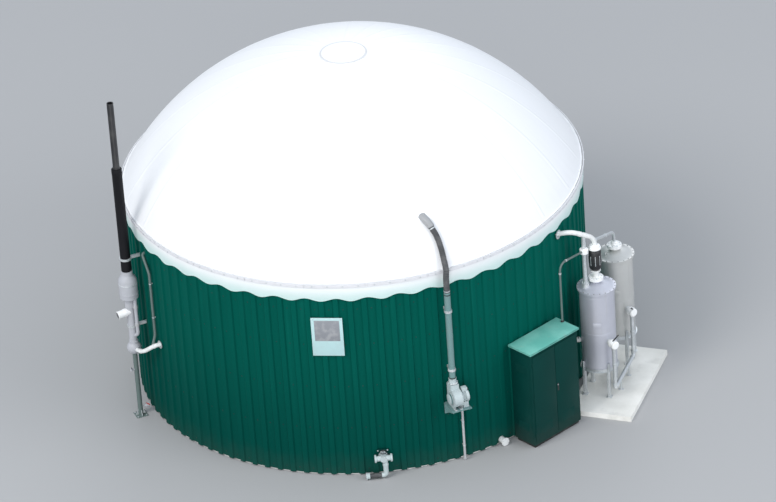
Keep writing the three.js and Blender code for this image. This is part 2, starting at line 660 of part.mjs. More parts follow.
// A nozzle out of the vessel to its ball valve, and the drop pipe that turns along the pad
function filterValve(towards) {
  const valve = polar(VALVE_REACH, VALVE_ANGLE, VALVE_Z);
  const low = point(valve.x, valve.y, LINK_Z);
  const fitting = fuse(
    bar(point(0, 0, VALVE_Z), valve, 42),
    ball(VALVE_RADIUS, ...valve.toArray()),
    moved(upright(LINK_RADIUS, LINK_Z, VALVE_Z, 12), valve.x, valve.y),
    ball(LINK_RADIUS + 10, ...low.toArray()),
    bar(low, point(low.x, low.y + ELBOW_LENGTH * towards, LINK_Z), LINK_RADIUS),
  );
  return cut(fitting, upright(FILTER_RADIUS + GAP, LEG_TOP, FILTER_TOP, 24));
}

FILTERS.forEach(({ reach, along }, index) => {
  const name = `filter_${index + 1}`;
  add(`${name}_vessel`, moved(turned(VESSEL_PROFILE, 24), reach, along), galvanised(), yard);
  add(`${name}_legs`, moved(filterLegs(), reach, along), galvanised(), yard);
  add(`${name}_valve`, moved(filterValve(index === 0 ? 1 : -1), reach, along), whitePlastic(), yard);
});

const linkEnd = ({ reach, along }, towards) => {
  const valve = polar(VALVE_REACH, VALVE_ANGLE);
  return point(reach + valve.x, along + valve.y + (ELBOW_LENGTH + 2 * GAP) * towards, LINK_Z);
};
const [first, second] = FILTERS;
add("filter_link_pipe", bar(linkEnd(first, 1), linkEnd(second, -1), LINK_RADIUS), galvanised(), yard);

// The first filter's sample tap, on the side that faces the tank
const tapAngle = 180 - PAD_AZIMUTH;
const tapEnd = polar(FILTER_RADIUS + 100, tapAngle, FILTER_TAP_Z);
const tap = fuse(
  bar(point(0, 0, FILTER_TAP_Z), tapEnd, 28, 10),
  ball(55, ...polar(FILTER_RADIUS + 45, tapAngle, FILTER_TAP_Z).toArray()),
);
add("filter_1_tap", moved(cut(tap, upright(FILTER_RADIUS + GAP, LEG_TOP, FILTER_TOP, 24)),
  first.reach, first.along), whitePlastic(), yard);

// Over the first filter: a riser, the flame arrester, and the gas pipe from the tank with its union
const overFirst = (geometry) => moved(geometry, first.reach, first.along);
add("filter_riser", overFirst(fuse(
  upright(CAP_FLANGE_RADIUS, FILTER_CAP_Z + GAP, FILTER_CAP_Z + 30),
  upright(55, FILTER_CAP_Z + GAP, ARRESTER_Z),
  upright(95, ARRESTER_Z - 30, ARRESTER_Z),
)), whitePlastic(), yard);
add("flame_arrester", overFirst(turned([
  [0, ARRESTER_Z + GAP], [70, ARRESTER_Z + GAP], [ARRESTER_RADIUS, ARRESTER_Z + 45],
  [ARRESTER_RADIUS, ARRESTER_TOP - 45], [70, ARRESTER_TOP], [0, ARRESTER_TOP],
], 20)), blackPipe(), yard);

const inYard = (x, y, z) => point(x, y, z).applyMatrix4(turnTo(PAD_AZIMUTH));
const gasOut = polar(SHEET_CREST + 230, GAS_AZIMUTH + 1, GAS_WALL_Z + 60);
const gasTop = inYard(first.reach, first.along, GAS_TOP_Z);
const gasRoute = (grow = 0) => pipe([
  polar(SHEET_TROUGH - 10, GAS_AZIMUTH, GAS_WALL_Z),
  gasOut,
  gasTop,
  inYard(first.reach, first.along, ARRESTER_TOP + GAP),
], GAS_RADIUS + grow, 130, 20, 10);
const union = overFirst(fuse(
  upright(UNION_RADIUS, ARRESTER_TOP + GAP, ARRESTER_TOP + 30),
  upright(UNION_RADIUS - 15, ARRESTER_TOP + 20, ARRESTER_TOP + UNION_HEIGHT),
)).applyMatrix4(turnTo(PAD_AZIMUTH));
add("gas_pipe", seatOnWall(fuse(gasRoute(), union)), whitePlastic());

// A branch drops from the gas pipe beside the arrester on to the first filter's lid.
const drop = gasOut.clone().lerp(gasTop, DROP_SHARE);
const lid = moved(turned(VESSEL_PROFILE, 24), first.reach, first.along)
  .applyMatrix4(turnTo(PAD_AZIMUTH)).translate(0, 0, GAP);
const gasDrop = (grow = 0) => moved(fuse(
  upright(DROP_RADIUS + grow, FILTER_TOP, drop.z - DROP_BELOW),
  upright(DROP_COLLAR + grow, FILTER_TOP, DROP_COLLAR_TOP),
  upright(DROP_UNION + grow, DROP_UNION_Z - DROP_UNION_HALF, DROP_UNION_Z + DROP_UNION_HALF),
), drop.x, drop.y);
add("gas_drop_pipe", cut(gasDrop(), gasRoute(GAP), lid), whitePlastic());

// The bypass slopes from the gas pipe to a bend over the second filter's cap.
const bypass = pipe([
  inYard(first.reach, first.along, BYPASS_START_Z),
  inYard(second.reach, second.along, BYPASS_BEND_Z),
  inYard(second.reach, second.along, FILTER_CAP_Z + 20),
], BYPASS_RADIUS, 170, 18, 10);
const bypassFlange = moved(upright(CAP_FLANGE_RADIUS, FILTER_CAP_Z + GAP, FILTER_CAP_Z + 30),
  second.reach, second.along).applyMatrix4(turnTo(PAD_AZIMUTH));
add("filter_bypass", cut(fuse(bypass, bypassFlange), gasRoute(GAP)), galvanised());

// The sample pipe climbs from the cabinet's roof and joins the branch at its union.
const onCabinet = (z) =>
  point(CABINET_BACK + 190, CABINET_SHIFT + CABINET_WIDTH / 2 - 40, z).applyMatrix4(turnTo(CABINET_YAW));
const samplePipe = pipe([
  onCabinet(CABINET_HEIGHT + GAP),
  onCabinet(SAMPLE_TOP_Z),
  point(drop.x, drop.y, DROP_UNION_Z),
], SAMPLE_RADIUS, 200, 18, 8);
add("sample_pipe", cut(samplePipe, gasDrop(2 * GAP)), whitePlastic());

// The tank's drain: a wall plate, a cross-piece with two capped arms, and a leg down to its coupling
const offWall = (outward, along, z) => point(SHEET_CREST + outward, along, z);
const onCross = (along) => offWall(DRAIN_REACH, along, DRAIN_Z);
const onRun = (along) => offWall(DRAIN_REACH, along, COUPLING_Z);
const drain = fuse(
  box(120, DRAIN_PLATE, DRAIN_PLATE, SHEET_TROUGH + 30, 0, DRAIN_Z),
  bar(offWall(-30, 0, DRAIN_Z), onCross(0), DRAIN_RADIUS, 16),
  bar(onCross(-DRAIN_ARM), onCross(DRAIN_ARM), DRAIN_RADIUS - 10, 16),
  bar(onCross(-DRAIN_ARM), onCross(-DRAIN_ARM + DRAIN_CAP), DRAIN_RADIUS + 12, 16),
  bar(onCross(DRAIN_ARM - DRAIN_CAP), onCross(DRAIN_ARM), DRAIN_RADIUS + 12, 16),
  bar(onCross(DRAIN_LEG), onRun(DRAIN_LEG), LEG_PIPE_RADIUS),
  bar(onRun(DRAIN_LEG + LEG_PIPE_RADIUS), onRun(COUPLING_LENGTH / 2 - COUPLING_END), LEG_PIPE_RADIUS),
  bar(onRun(COUPLING_LENGTH - COUPLING_END), onRun(-COUPLING_END), DRAIN_RADIUS, 14),
);
add("drain_stub", seatOnWall(drain, DRAIN_AZIMUTH), galvanised());

const footStub = fuse(
  bar(offWall(-30, 0, STUB_Z), offWall(STUB_REACH, 0, STUB_Z), STUB_RADIUS, 14),
  bar(offWall(STUB_REACH - 15, 0, STUB_Z), offWall(STUB_REACH, 0, STUB_Z), STUB_RADIUS + 20, 14),
);
add("foot_stub", seatOnWall(footStub, STUB_AZIMUTH), whitePlastic());

export default digester;
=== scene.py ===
# %% [markdown]
# A farm biogas digester, dressed for the camera.
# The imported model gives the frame: every node stands at its real place, in metres, with the tank's axis
# at the origin and the ground at height 0. This lesson keeps the solids whose shape is already right,
# gives them a real finish, and builds finer pieces round the others.

# %% The frame and the tools
import math

import bmesh
import bpy
from mathutils import Matrix, Quaternion, Vector


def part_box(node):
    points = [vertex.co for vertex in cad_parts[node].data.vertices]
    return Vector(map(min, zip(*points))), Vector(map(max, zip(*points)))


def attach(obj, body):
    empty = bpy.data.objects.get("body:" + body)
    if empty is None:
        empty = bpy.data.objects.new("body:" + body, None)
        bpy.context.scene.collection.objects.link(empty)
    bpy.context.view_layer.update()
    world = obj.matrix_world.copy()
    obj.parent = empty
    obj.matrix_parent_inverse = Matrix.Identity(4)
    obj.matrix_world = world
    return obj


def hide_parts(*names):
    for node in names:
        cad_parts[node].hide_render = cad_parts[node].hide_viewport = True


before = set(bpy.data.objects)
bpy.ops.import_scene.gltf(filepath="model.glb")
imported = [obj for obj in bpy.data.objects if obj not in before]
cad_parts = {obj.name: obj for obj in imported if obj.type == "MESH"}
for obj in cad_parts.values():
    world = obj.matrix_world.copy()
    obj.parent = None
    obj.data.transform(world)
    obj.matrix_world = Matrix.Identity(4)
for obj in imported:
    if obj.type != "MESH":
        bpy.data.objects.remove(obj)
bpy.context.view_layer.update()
ROOT = "root"
print("solids in the frame:", len(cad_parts))

# %% [markdown]
# The camera stands where the photograph was taken: 94 m away and 50 m up, looking down on the tank's
# front. A longer lens brings the digester near without changing its perspective. The picture was taken
# with a slight lean, so that upright pipes tip a few degrees to the left, and the camera keeps it.

# %% The camera
VIEWPOINT = Vector((-2.01, -81.85, 49.51))
AIM = Vector((0.55, 0.0, 2.14))
LEAN = math.radians(-4.06)
LENS_MM = 240
camera = bpy.data.objects.new("camera", bpy.data.cameras.new("camera"))
bpy.context.scene.collection.objects.link(camera)
bpy.context.scene.camera = camera
camera.data.lens = LENS_MM
camera.data.sensor_width = 36
camera.data.clip_end = 600
camera.location = VIEWPOINT
camera.rotation_mode = "QUATERNION"
camera.rotation_quaternion = (AIM - VIEWPOINT).to_track_quat("-Z", "Y") @ Quaternion((0, 0, 1), LEAN)
print("camera distance in metres:", round((AIM - VIEWPOINT).length, 1))

# %% [markdown]
# The light is that of a bright day with thin cloud. A broad panel high on the left is the key, a low one
# in front lights the wall, weaker ones on the right and behind keep the far sides readable, and a pale
# sky fills the shade. Wide panels give the soft edged shadows that tell the eye how large the tank is.

# %% Light and floor
SKY = (0.8, 0.88, 1.0)
SKY_STRENGTH = 0.8
FLOOR_TONE = 0.4


def panel(name, place, side, power, tint):
    """A round lamp that looks at the tank; side is how wide it is, in metres."""
    lamp = bpy.data.lights.new(name, "AREA")
    lamp.shape = "DISK"
    lamp.size = side
    lamp.energy = power
    lamp.color = tint
    holder = bpy.data.objects.new(name, lamp)
    holder.location = place
    holder.rotation_mode = "QUATERNION"
    holder.rotation_quaternion = (Vector((0, 0, 2)) - Vector(place)).to_track_quat("-Z", "Y")
    holder.visible_camera = False
    bpy.context.scene.collection.objects.link(holder)


panel("key", (-38, -34, 52), 30, 23000, (1.0, 0.985, 0.96))
panel("front", (-8, -72, 16), 40, 15000, (1.0, 0.99, 0.975))
panel("fill", (45, -30, 30), 36, 10500, (0.96, 0.975, 1.0))
panel("back", (10, 60, 38), 36, 8000, (0.96, 0.98, 1.0))
sky = bpy.data.worlds.new("sky")
sky.use_nodes = True
sky.node_tree.nodes["Background"].inputs["Color"].default_value = (*SKY, 1)
sky.node_tree.nodes["Background"].inputs["Strength"].default_value = SKY_STRENGTH
bpy.context.scene.world = sky
bpy.context.scene.view_settings.view_transform = "Standard"

# %% [markdown]
# Every finish is a small tree of shader nodes. Written node by node such a tree is hard to read, so a
# small class wraps a socket and lets Python's own arithmetic add the Math nodes, and another class
# holds one material. Its method `node` makes any node: settings first, then sockets by name.


# %% Arithmetic on sockets
def plug(tree, socket, value):
    if isinstance(value, Signal):
        tree.links.new(value.socket, socket)
    elif isinstance(value, tuple) and len(value) == 3 and socket.type == "RGBA":
        socket.default_value = (*value, 1)
    else:
        socket.default_value = value


class Signal:
    """An output socket whose arithmetic adds Math nodes to its tree."""

    def __init__(self, tree, socket):
        self.tree = tree
        self.socket = socket

    def math(self, operation, *values):
        node = self.tree.nodes.new("ShaderNodeMath")
        node.operation = operation
        for socket, value in zip(node.inputs, values):
            plug(self.tree, socket, value)
        return Signal(self.tree, node.outputs[0])

    def __add__(self, other):
        return self.math("ADD", self, other)

    def __sub__(self, other):
        return self.math("SUBTRACT", self, other)

    def __rsub__(self, other):
        return self.math("SUBTRACT", other, self)

    def __mul__(self, other):
        return self.math("MULTIPLY", self, other)

    __radd__ = __add__
    __rmul__ = __mul__


print("a socket can be added, subtracted and multiplied")


# %% One material
class Finish:
    """A material, and the nodes that vary it over the surface."""

    def __init__(self, name, roughness=0.5, metallic=0.0, specular=0.5):
        self.material = bpy.data.materials.new(name)
        self.material.use_nodes = True
        self.tree = self.material.node_tree
        self.shader = self.tree.nodes["Principled BSDF"]
        self.set(Roughness=roughness, Metallic=metallic, Specular_IOR_Level=specular)
        self.place = Signal(self.tree, self.tree.nodes.new("ShaderNodeTexCoord").outputs["Object"])

    def set(self, **sockets):
        for key, value in sockets.items():
            plug(self.tree, self.shader.inputs[key.replace("_", " ")], value)

    def node(self, kind, settings, **sockets):
        node = self.tree.nodes.new(kind)
        for key, value in settings.items():
            setattr(node, key, value)
        for key, value in sockets.items():
            found = [s for s in node.inputs if s.identifier in (key, key.replace("_", " "))]
            plug(self.tree, found[0], value)
        return Signal(self.tree, next(s for s in node.outputs if s.enabled))

    def axes(self):
        parts = self.tree.nodes.new("ShaderNodeSeparateXYZ")
        plug(self.tree, parts.inputs[0], self.place)
        return [Signal(self.tree, s) for s in parts.outputs]

    def vector(self, x, y, z):
        return self.node("ShaderNodeCombineXYZ", {}, X=x, Y=y, Z=z)

    def stretched(self, factors):
        return self.node("ShaderNodeVectorMath", {"operation": "MULTIPLY"}, Vector=self.place,
                         Vector_001=Vector(factors))

    def noise(self, scale, detail=3.0, vector=None):
        return self.node("ShaderNodeTexNoise", {}, Vector=vector or self.place, Scale=scale,
                         Detail=detail)

    def cells(self, scale, feature="F1"):
        return self.node("ShaderNodeTexVoronoi", {"feature": feature}, Vector=self.place, Scale=scale)

    def fade(self, value, low, high):
        """0 below low and 1 above high, with a soft step between; low may be the larger."""
        return self.node("ShaderNodeMapRange", {"interpolation_type": "SMOOTHSTEP"}, Value=value,
                         From_Min=low, From_Max=high)

    def mix(self, share, under, over):
        return self.node("ShaderNodeMix", {"data_type": "RGBA"}, Factor_Float=share,
                         A_Color=under, B_Color=over)

    def bump(self, height, distance, strength=1.0):
        self.set(Normal=self.node("ShaderNodeBump", {}, Height=height, Distance=distance,
                                  Strength=strength))


print("finish tools ready")

# %% [markdown]
# The wall's sheet is steel, coated dark blue green at the mill and rolled into ribs. It comes in metre
# wide boards of four ribs, and each board has weathered a little differently. Rain draws pale streaks
# down from the skirt and the lowest half metre is dulled by splashed mud. The right side is painted
# lighter as painted sunlight, and the sheet is painted darker towards its foot as painted shade. All of
# it follows the place on the tank, so it needs no unwrapping.

# %% Coated sheet
TURN = 2 * math.pi
BOARDS = 26
GREEN_DEEP = (0.0002, 0.07, 0.053)
GREEN_WORN = (0.0004, 0.097, 0.072)
GREEN_PAINTED_SUNLIGHT = (0.0005, 0.128, 0.096)
GREEN_PAINTED_SHADE = (0.0002, 0.042, 0.034)
CHALK = (0.008, 0.18, 0.14)
SPLASH = (0.03, 0.068, 0.054)


def green_sheet():
    f = Finish("green_sheet", roughness=0.5, specular=0.03)
    x, y, z = f.axes()
    around = x.math("ARCTAN2", y, x)
    board = around.math("FLOOR", around * (BOARDS / TURN))
    tone = f.node("ShaderNodeTexWhiteNoise", {"noise_dimensions": "1D"}, W=board)
    cloud = f.noise(0.55, 4)
    colour = f.mix(tone * 0.45 + cloud * 0.45, GREEN_DEEP, GREEN_WORN)
    # painted sunlight: the sheet is painted lighter towards the right side
    colour = f.mix(f.fade(x, 0.0, 3.6) * 0.45, colour, GREEN_PAINTED_SUNLIGHT)
    # painted shade: the sheet is painted darker towards its foot
    colour = f.mix(f.fade(z, 3.0, 0.2) * 0.58, colour, GREEN_PAINTED_SHADE)
    trace = f.noise(1.0, 5, f.vector(around * 30, z * 0.35, 0))
    rain = f.fade(trace, 0.56, 0.78) * f.fade(z, 0.2, 3.4)
    colour = f.mix(rain * 0.22, colour, CHALK)
    mud = f.fade(z + f.noise(5, 5) * 0.45, 0.75, 0.2)
    colour = f.mix(mud * 0.3, colour, SPLASH)
    f.set(Base_Color=colour, Roughness=0.48 + cloud * 0.16 + mud * 0.25 + rain * 0.12)
    f.bump(f.noise(2.2, 2) + f.noise(90, 2) * 0.05, 0.006, 0.35)
    return f


def pale_sheet():
    f = Finish("pale_green_sheet", roughness=0.5)
    cloud = f.noise(2.4, 5)
    # the roof's top is coloured far paler than the body's paint
    colour = f.mix(f.fade(cloud, 0.35, 0.7), (0.125, 0.445, 0.375), (0.2, 0.545, 0.465))
    stain = f.fade(f.noise(7, 6), 0.58, 0.75)
    colour = f.mix(stain * 0.35, colour, (0.3, 0.4, 0.34))
    f.set(Base_Color=colour, Roughness=0.42 + cloud * 0.2)
    f.bump(f.noise(60, 3), 0.002, 0.3)
    return f


def cabinet_paint():
    f = Finish("cabinet_paint", roughness=0.4, specular=0.1)
    z = f.axes()[2]
    cloud = f.noise(1.8, 5)
    colour = f.mix(cloud, (0.001, 0.03, 0.025), (0.002, 0.047, 0.04))
    dust = f.fade(z + f.noise(7, 4) * 0.4, 0.7, 0.15)
    colour = f.mix(dust * 0.3, colour, (0.06, 0.075, 0.065))
    f.set(Base_Color=colour, Roughness=0.34 + cloud * 0.18 + dust * 0.25)
    f.bump(f.noise(110, 2), 0.0015, 0.3)
    return f


print("boards of sheet round the wall:", BOARDS)

# %% [markdown]
# The dome is a fabric coated white on both sides and held up by air. At this distance its weave can't
# be seen and its skin looks almost polished, with a breath of dust that runs down from the crown. The
# skirt below the rail is the same cloth. Its lower edge is painted darker and greener, as a painted
# reflection of the green wall behind it and painted shade.

# %% Membrane cloth
CLOTH_WHITE = (0.88, 0.885, 0.89)
CLOTH_DUST = (0.66, 0.66, 0.66)


def membrane():
    f = Finish("membrane", roughness=0.42, specular=0.35)
    x, y, z = f.axes()
    around = x.math("ARCTAN2", y, x)
    reach = x.math("SQRT", x * x + y * y)
    runs = f.noise(1.0, 5, f.vector(around * 26, reach * 0.5, 0))
    film = f.fade(runs, 0.5, 0.85) * f.fade(reach, 0.4, 3.6)
    rim = f.fade(z, 4.35, 3.97) * f.fade(z, 3.9, 3.97)
    colour = f.mix(film * 0.1 + rim * 0.1, CLOTH_WHITE, CLOTH_DUST)
    # painted reflection of the green wall and painted shade: the skirt is painted darker and greener at its
    # hem
    low = f.fade(z, 3.93, 3.62)
    colour = f.mix(low * 0.8, colour, (0.46, 0.66, 0.62))
    weave = f.cells(320, "DISTANCE_TO_EDGE")
    f.set(Base_Color=colour, Roughness=0.38 + runs * 0.12)
    f.bump(weave * 0.05 + f.noise(1.3, 2), 0.004, 0.25)
    return f


print("clean cloth's colour:", CLOTH_WHITE)

# %% [markdown]
# Concrete is never one grey. It has a cloudy body, darker damp patches, small blow holes and dust that
# lightens its top. Zinc on steel crystallises into spangles a centimetre or two across, which a cell
# pattern gives. Satin steel has fine lines round the vessel, so its noise is squeezed in height.


# %% Concrete and metals
def concrete(name, dark, pale, damp_share):
    f = Finish(name, roughness=0.88)
    cloud = f.noise(1.4, 7)
    grain = f.noise(34, 6)
    colour = f.mix(f.fade(cloud, 0.3, 0.72), dark, pale)
    damp = f.fade(f.noise(2.7, 6), 0.56, 0.72)
    colour = f.mix(damp * damp_share, colour, (0.36, 0.35, 0.32))
    colour = f.mix(grain * 0.1, colour, (0.5, 0.49, 0.46))
    holes = f.fade(f.cells(22), 0.16, 0.07)
    f.set(Base_Color=colour, Roughness=0.78 + grain * 0.16)
    f.bump(grain * 0.5 - holes, 0.004, 0.6)
    return f


def galvanised():
    f = Finish("galvanised", roughness=0.42, metallic=0.5)
    spangle = f.cells(55)
    cloud = f.noise(6, 4)
    colour = f.mix(spangle, (0.52, 0.55, 0.56), (0.7, 0.725, 0.735))
    bloom = f.fade(cloud, 0.52, 0.72)
    colour = f.mix(bloom * 0.45, colour, (0.74, 0.75, 0.75))
    f.set(Base_Color=colour, Roughness=0.34 + spangle * 0.12 + bloom * 0.2, Metallic=0.55 - bloom * 0.3)
    f.bump(f.noise(70, 2), 0.001, 0.4)
    return f


def satin_steel(name, cool, warm):
    f = Finish(name, roughness=0.35, metallic=0.5)
    lines = f.noise(1.0, 3, f.stretched((4, 4, 160)))
    cloud = f.noise(2.2, 4)
    colour = f.mix(cloud, cool, warm)
    grime = f.fade(f.noise(1.0, 5, f.stretched((9, 9, 0.8))), 0.55, 0.8)
    colour = f.mix(grime * 0.3, colour, (0.36, 0.35, 0.33))
    f.set(Base_Color=colour, Roughness=0.32 + lines * 0.16 + grime * 0.15, Metallic=0.45 - grime * 0.2)
    f.bump(lines, 0.0006, 0.3)
    return f


print("concrete, zinc and satin steel ready")

# %% [markdown]
# Plastics and rubber come last. White pipe yellows and gathers grime, black pipe goes grey where dust
# lies on it, and handles are dipped or painted. Each of them has its own small range of colour and
# gloss, because a flat colour reads as a toy.


# %% Plastics, rubber and paint
def dusty(name, tone, dust, share, roughness, scale=9.0, specular=0.5):
    f = Finish(name, roughness=roughness, specular=specular)
    cloud = f.noise(scale, 5)
    speck = f.noise(scale * 7, 3)
    film = f.fade(cloud, 0.42, 0.72)
    f.set(Base_Color=f.mix(film * share + speck * 0.05, tone, dust),
          Roughness=roughness - 0.06 + cloud * 0.16 + film * 0.08)
    f.bump(speck, 0.001, 0.35)
    return f


def make_finishes():
    return {
        "green": green_sheet(),
        "pale": pale_sheet(),
        "cabinet": cabinet_paint(),
        "cloth": membrane(),
        "concrete": concrete("concrete", (0.6, 0.59, 0.56), (0.8, 0.79, 0.77), 0.35),
        "pad": concrete("pale_concrete", (0.76, 0.75, 0.7), (0.94, 0.93, 0.88), 0.25),
        "zinc": galvanised(),
        "steel_1": satin_steel("stainless_cool", (0.52, 0.53, 0.605), (0.69, 0.7, 0.755)),
        "steel_2": satin_steel("stainless_warm", (0.555, 0.56, 0.545), (0.705, 0.705, 0.68)),
        "pale_pipe": dusty("pale_pipe", (0.15, 0.265, 0.26), (0.18, 0.255, 0.245), 0.4, 0.45),
        "thin_line": dusty("thin_line", (0.11, 0.155, 0.145), (0.15, 0.18, 0.17), 0.4, 0.55),
        "machine": dusty("machine_paint", (0.46, 0.53, 0.535), (0.42, 0.46, 0.455), 0.35, 0.42),
        # painted light: a lighter copy of the white plastic, for caps, valves and unions that catch the light
        "bright": dusty("white_plastic_painted_light", (0.93, 0.935, 0.925), (0.74, 0.73, 0.69), 0.2, 0.35),
        "relief": dusty("relief_paint", (0.44, 0.45, 0.48), (0.4, 0.4, 0.41), 0.35, 0.45),
        # painted shade: the white sign board is painted pale blue green
        "board": dusty("sign_board_painted_shade", (0.46, 0.66, 0.665), (0.42, 0.56, 0.55), 0.3, 0.42),
        "rail": dusty("painted_rail", (0.72, 0.72, 0.74), (0.6, 0.6, 0.61), 0.4, 0.45),
        "cord": dusty("weld_line", (0.66, 0.66, 0.66), (0.6, 0.6, 0.59), 0.3, 0.5),
        "white": dusty("white_plastic", (0.8, 0.81, 0.8), (0.58, 0.57, 0.52), 0.35, 0.38),
        "grey": dusty("grey_plastic", (0.42, 0.43, 0.44), (0.52, 0.51, 0.48), 0.4, 0.45),
        "tar": dusty("tar_black", (0.003, 0.003, 0.005), (0.016, 0.016, 0.018), 0.25, 0.68, 4.0, 0.25),
        "black": dusty("black_pipe", (0.01, 0.01, 0.012), (0.085, 0.085, 0.08), 0.35, 0.42, 4.0),
        # painted shade: the sleeve is white membrane cloth, painted grey
        "sleeve": dusty("sleeve_cloth_painted_shade", (0.34, 0.345, 0.35), (0.28, 0.28, 0.28), 0.35, 0.5),
        "bolt": dusty("dull_bolt", (0.24, 0.245, 0.25), (0.34, 0.34, 0.33), 0.4, 0.5),
        "hose": dusty("hose", (0.055, 0.057, 0.06), (0.2, 0.2, 0.195), 0.35, 0.55),
        "rubber": dusty("gasket_rubber", (0.016, 0.016, 0.016), (0.09, 0.09, 0.085), 0.4, 0.7),
        "red": dusty("handle_red", (0.5, 0.02, 0.014), (0.42, 0.15, 0.12), 0.35, 0.4),
        "panel": dusty("sign_panel", (0.24, 0.25, 0.27), (0.5, 0.5, 0.5), 0.4, 0.5),
    }


FINISH = make_finishes()
CLOTH, ZINC, WHITE, WHITE_PAINTED_LIGHT = (FINISH[name] for name in ("cloth", "zinc", "white", "bright"))
BLACK, RUBBER, GREY, MACHINE = (FINISH[name] for name in ("black", "rubber", "grey", "machine"))
PALE_PIPE, THIN_LINE, PAINT = (FINISH[name] for name in ("pale_pipe", "thin_line", "cabinet"))
print("finishes:", len(FINISH))

# %% The floor
FLOOR_HALF = 260
floor_finish = Finish("floor", roughness=0.9, specular=0.2)
floor_finish.set(Base_Color=floor_finish.mix(floor_finish.noise(0.05, 2), (FLOOR_TONE,) * 3,
                                             (FLOOR_TONE + 0.02,) * 3))
floor_mesh = bpy.data.meshes.new("floor")
floor_corners = [(x * FLOOR_HALF, y * FLOOR_HALF, 0) for x, y in ((-1, -1), (1, -1), (1, 1), (-1, 1))]
floor_mesh.from_pydata(floor_corners, [], [(0, 1, 2, 3)])
floor_mesh.materials.append(floor_finish.material)
floor = bpy.data.objects.new("floor", floor_mesh)
bpy.context.scene.collection.objects.link(floor)
print("floor across in metres:", 2 * FLOOR_HALF)

# %% [markdown]
# Most of the equipment is pipe, flange, plate and bolt, and each is a row of rings of points with faces
# between them. A few helpers lay such rings. A station turns the tank's frame so that +X points away
# from the wall. Pieces that touch are drawn a hair's breadth apart.


# %% Turns, circles and rows of faces
UP = Vector((0, 0, 1))
ON_AXIS = 1e-6
HAIR = 0.0003
SPINDLE_RADIUS, LEVER_THICKNESS = 0.011, 0.008


def station(azimuth):
    return Matrix.Rotation(math.radians(azimuth), 4, "Z")


def facing(direction):
    """A turn that sets a shape made along +Z along the direction."""
    return Vector(direction).to_track_quat("Z", "Y").to_matrix().to_4x4()


def polar(reach, azimuth, z=0.0):
    angle = math.radians(azimuth)
    return Vector((reach * math.cos(angle), reach * math.sin(angle), z))


def circle(radius, sides):
    angles = [TURN * i / sides for i in range(sides)]
    return [(radius * math.cos(angle), radius * math.sin(angle)) for angle in angles]


def corners(x, y):
    """The four corners of a rectangle round the origin."""
    return [(-x, -y), (-x, y), (x, -y), (x, y)]


def walls(rings, sides, loop=False):
    """Faces between rings of points; loop joins the last ring to the first."""
    faces = []
    for ring in range(rings if loop else rings - 1):
        low, high = ring * sides, (ring + 1) % rings * sides
        for k in range(sides):
            n = (k + 1) % sides
            faces.append([low + k, low + n, high + n, high + k])
    return faces


def ends(rings, sides):
    """The two faces that close a tube of rings."""
    return [list(range(sides))[::-1], list(range((rings - 1) * sides, rings * sides))]


print("gap between touching pieces, in metres:", HAIR)


# %% [markdown]
# One class holds a mesh while it is built and has a method for each basic shape: turned on an axis,
# swept along a line, a block with broken edges, or an outline made thick. Its last method marks the
# sharp edges and hands the piece to the frame.


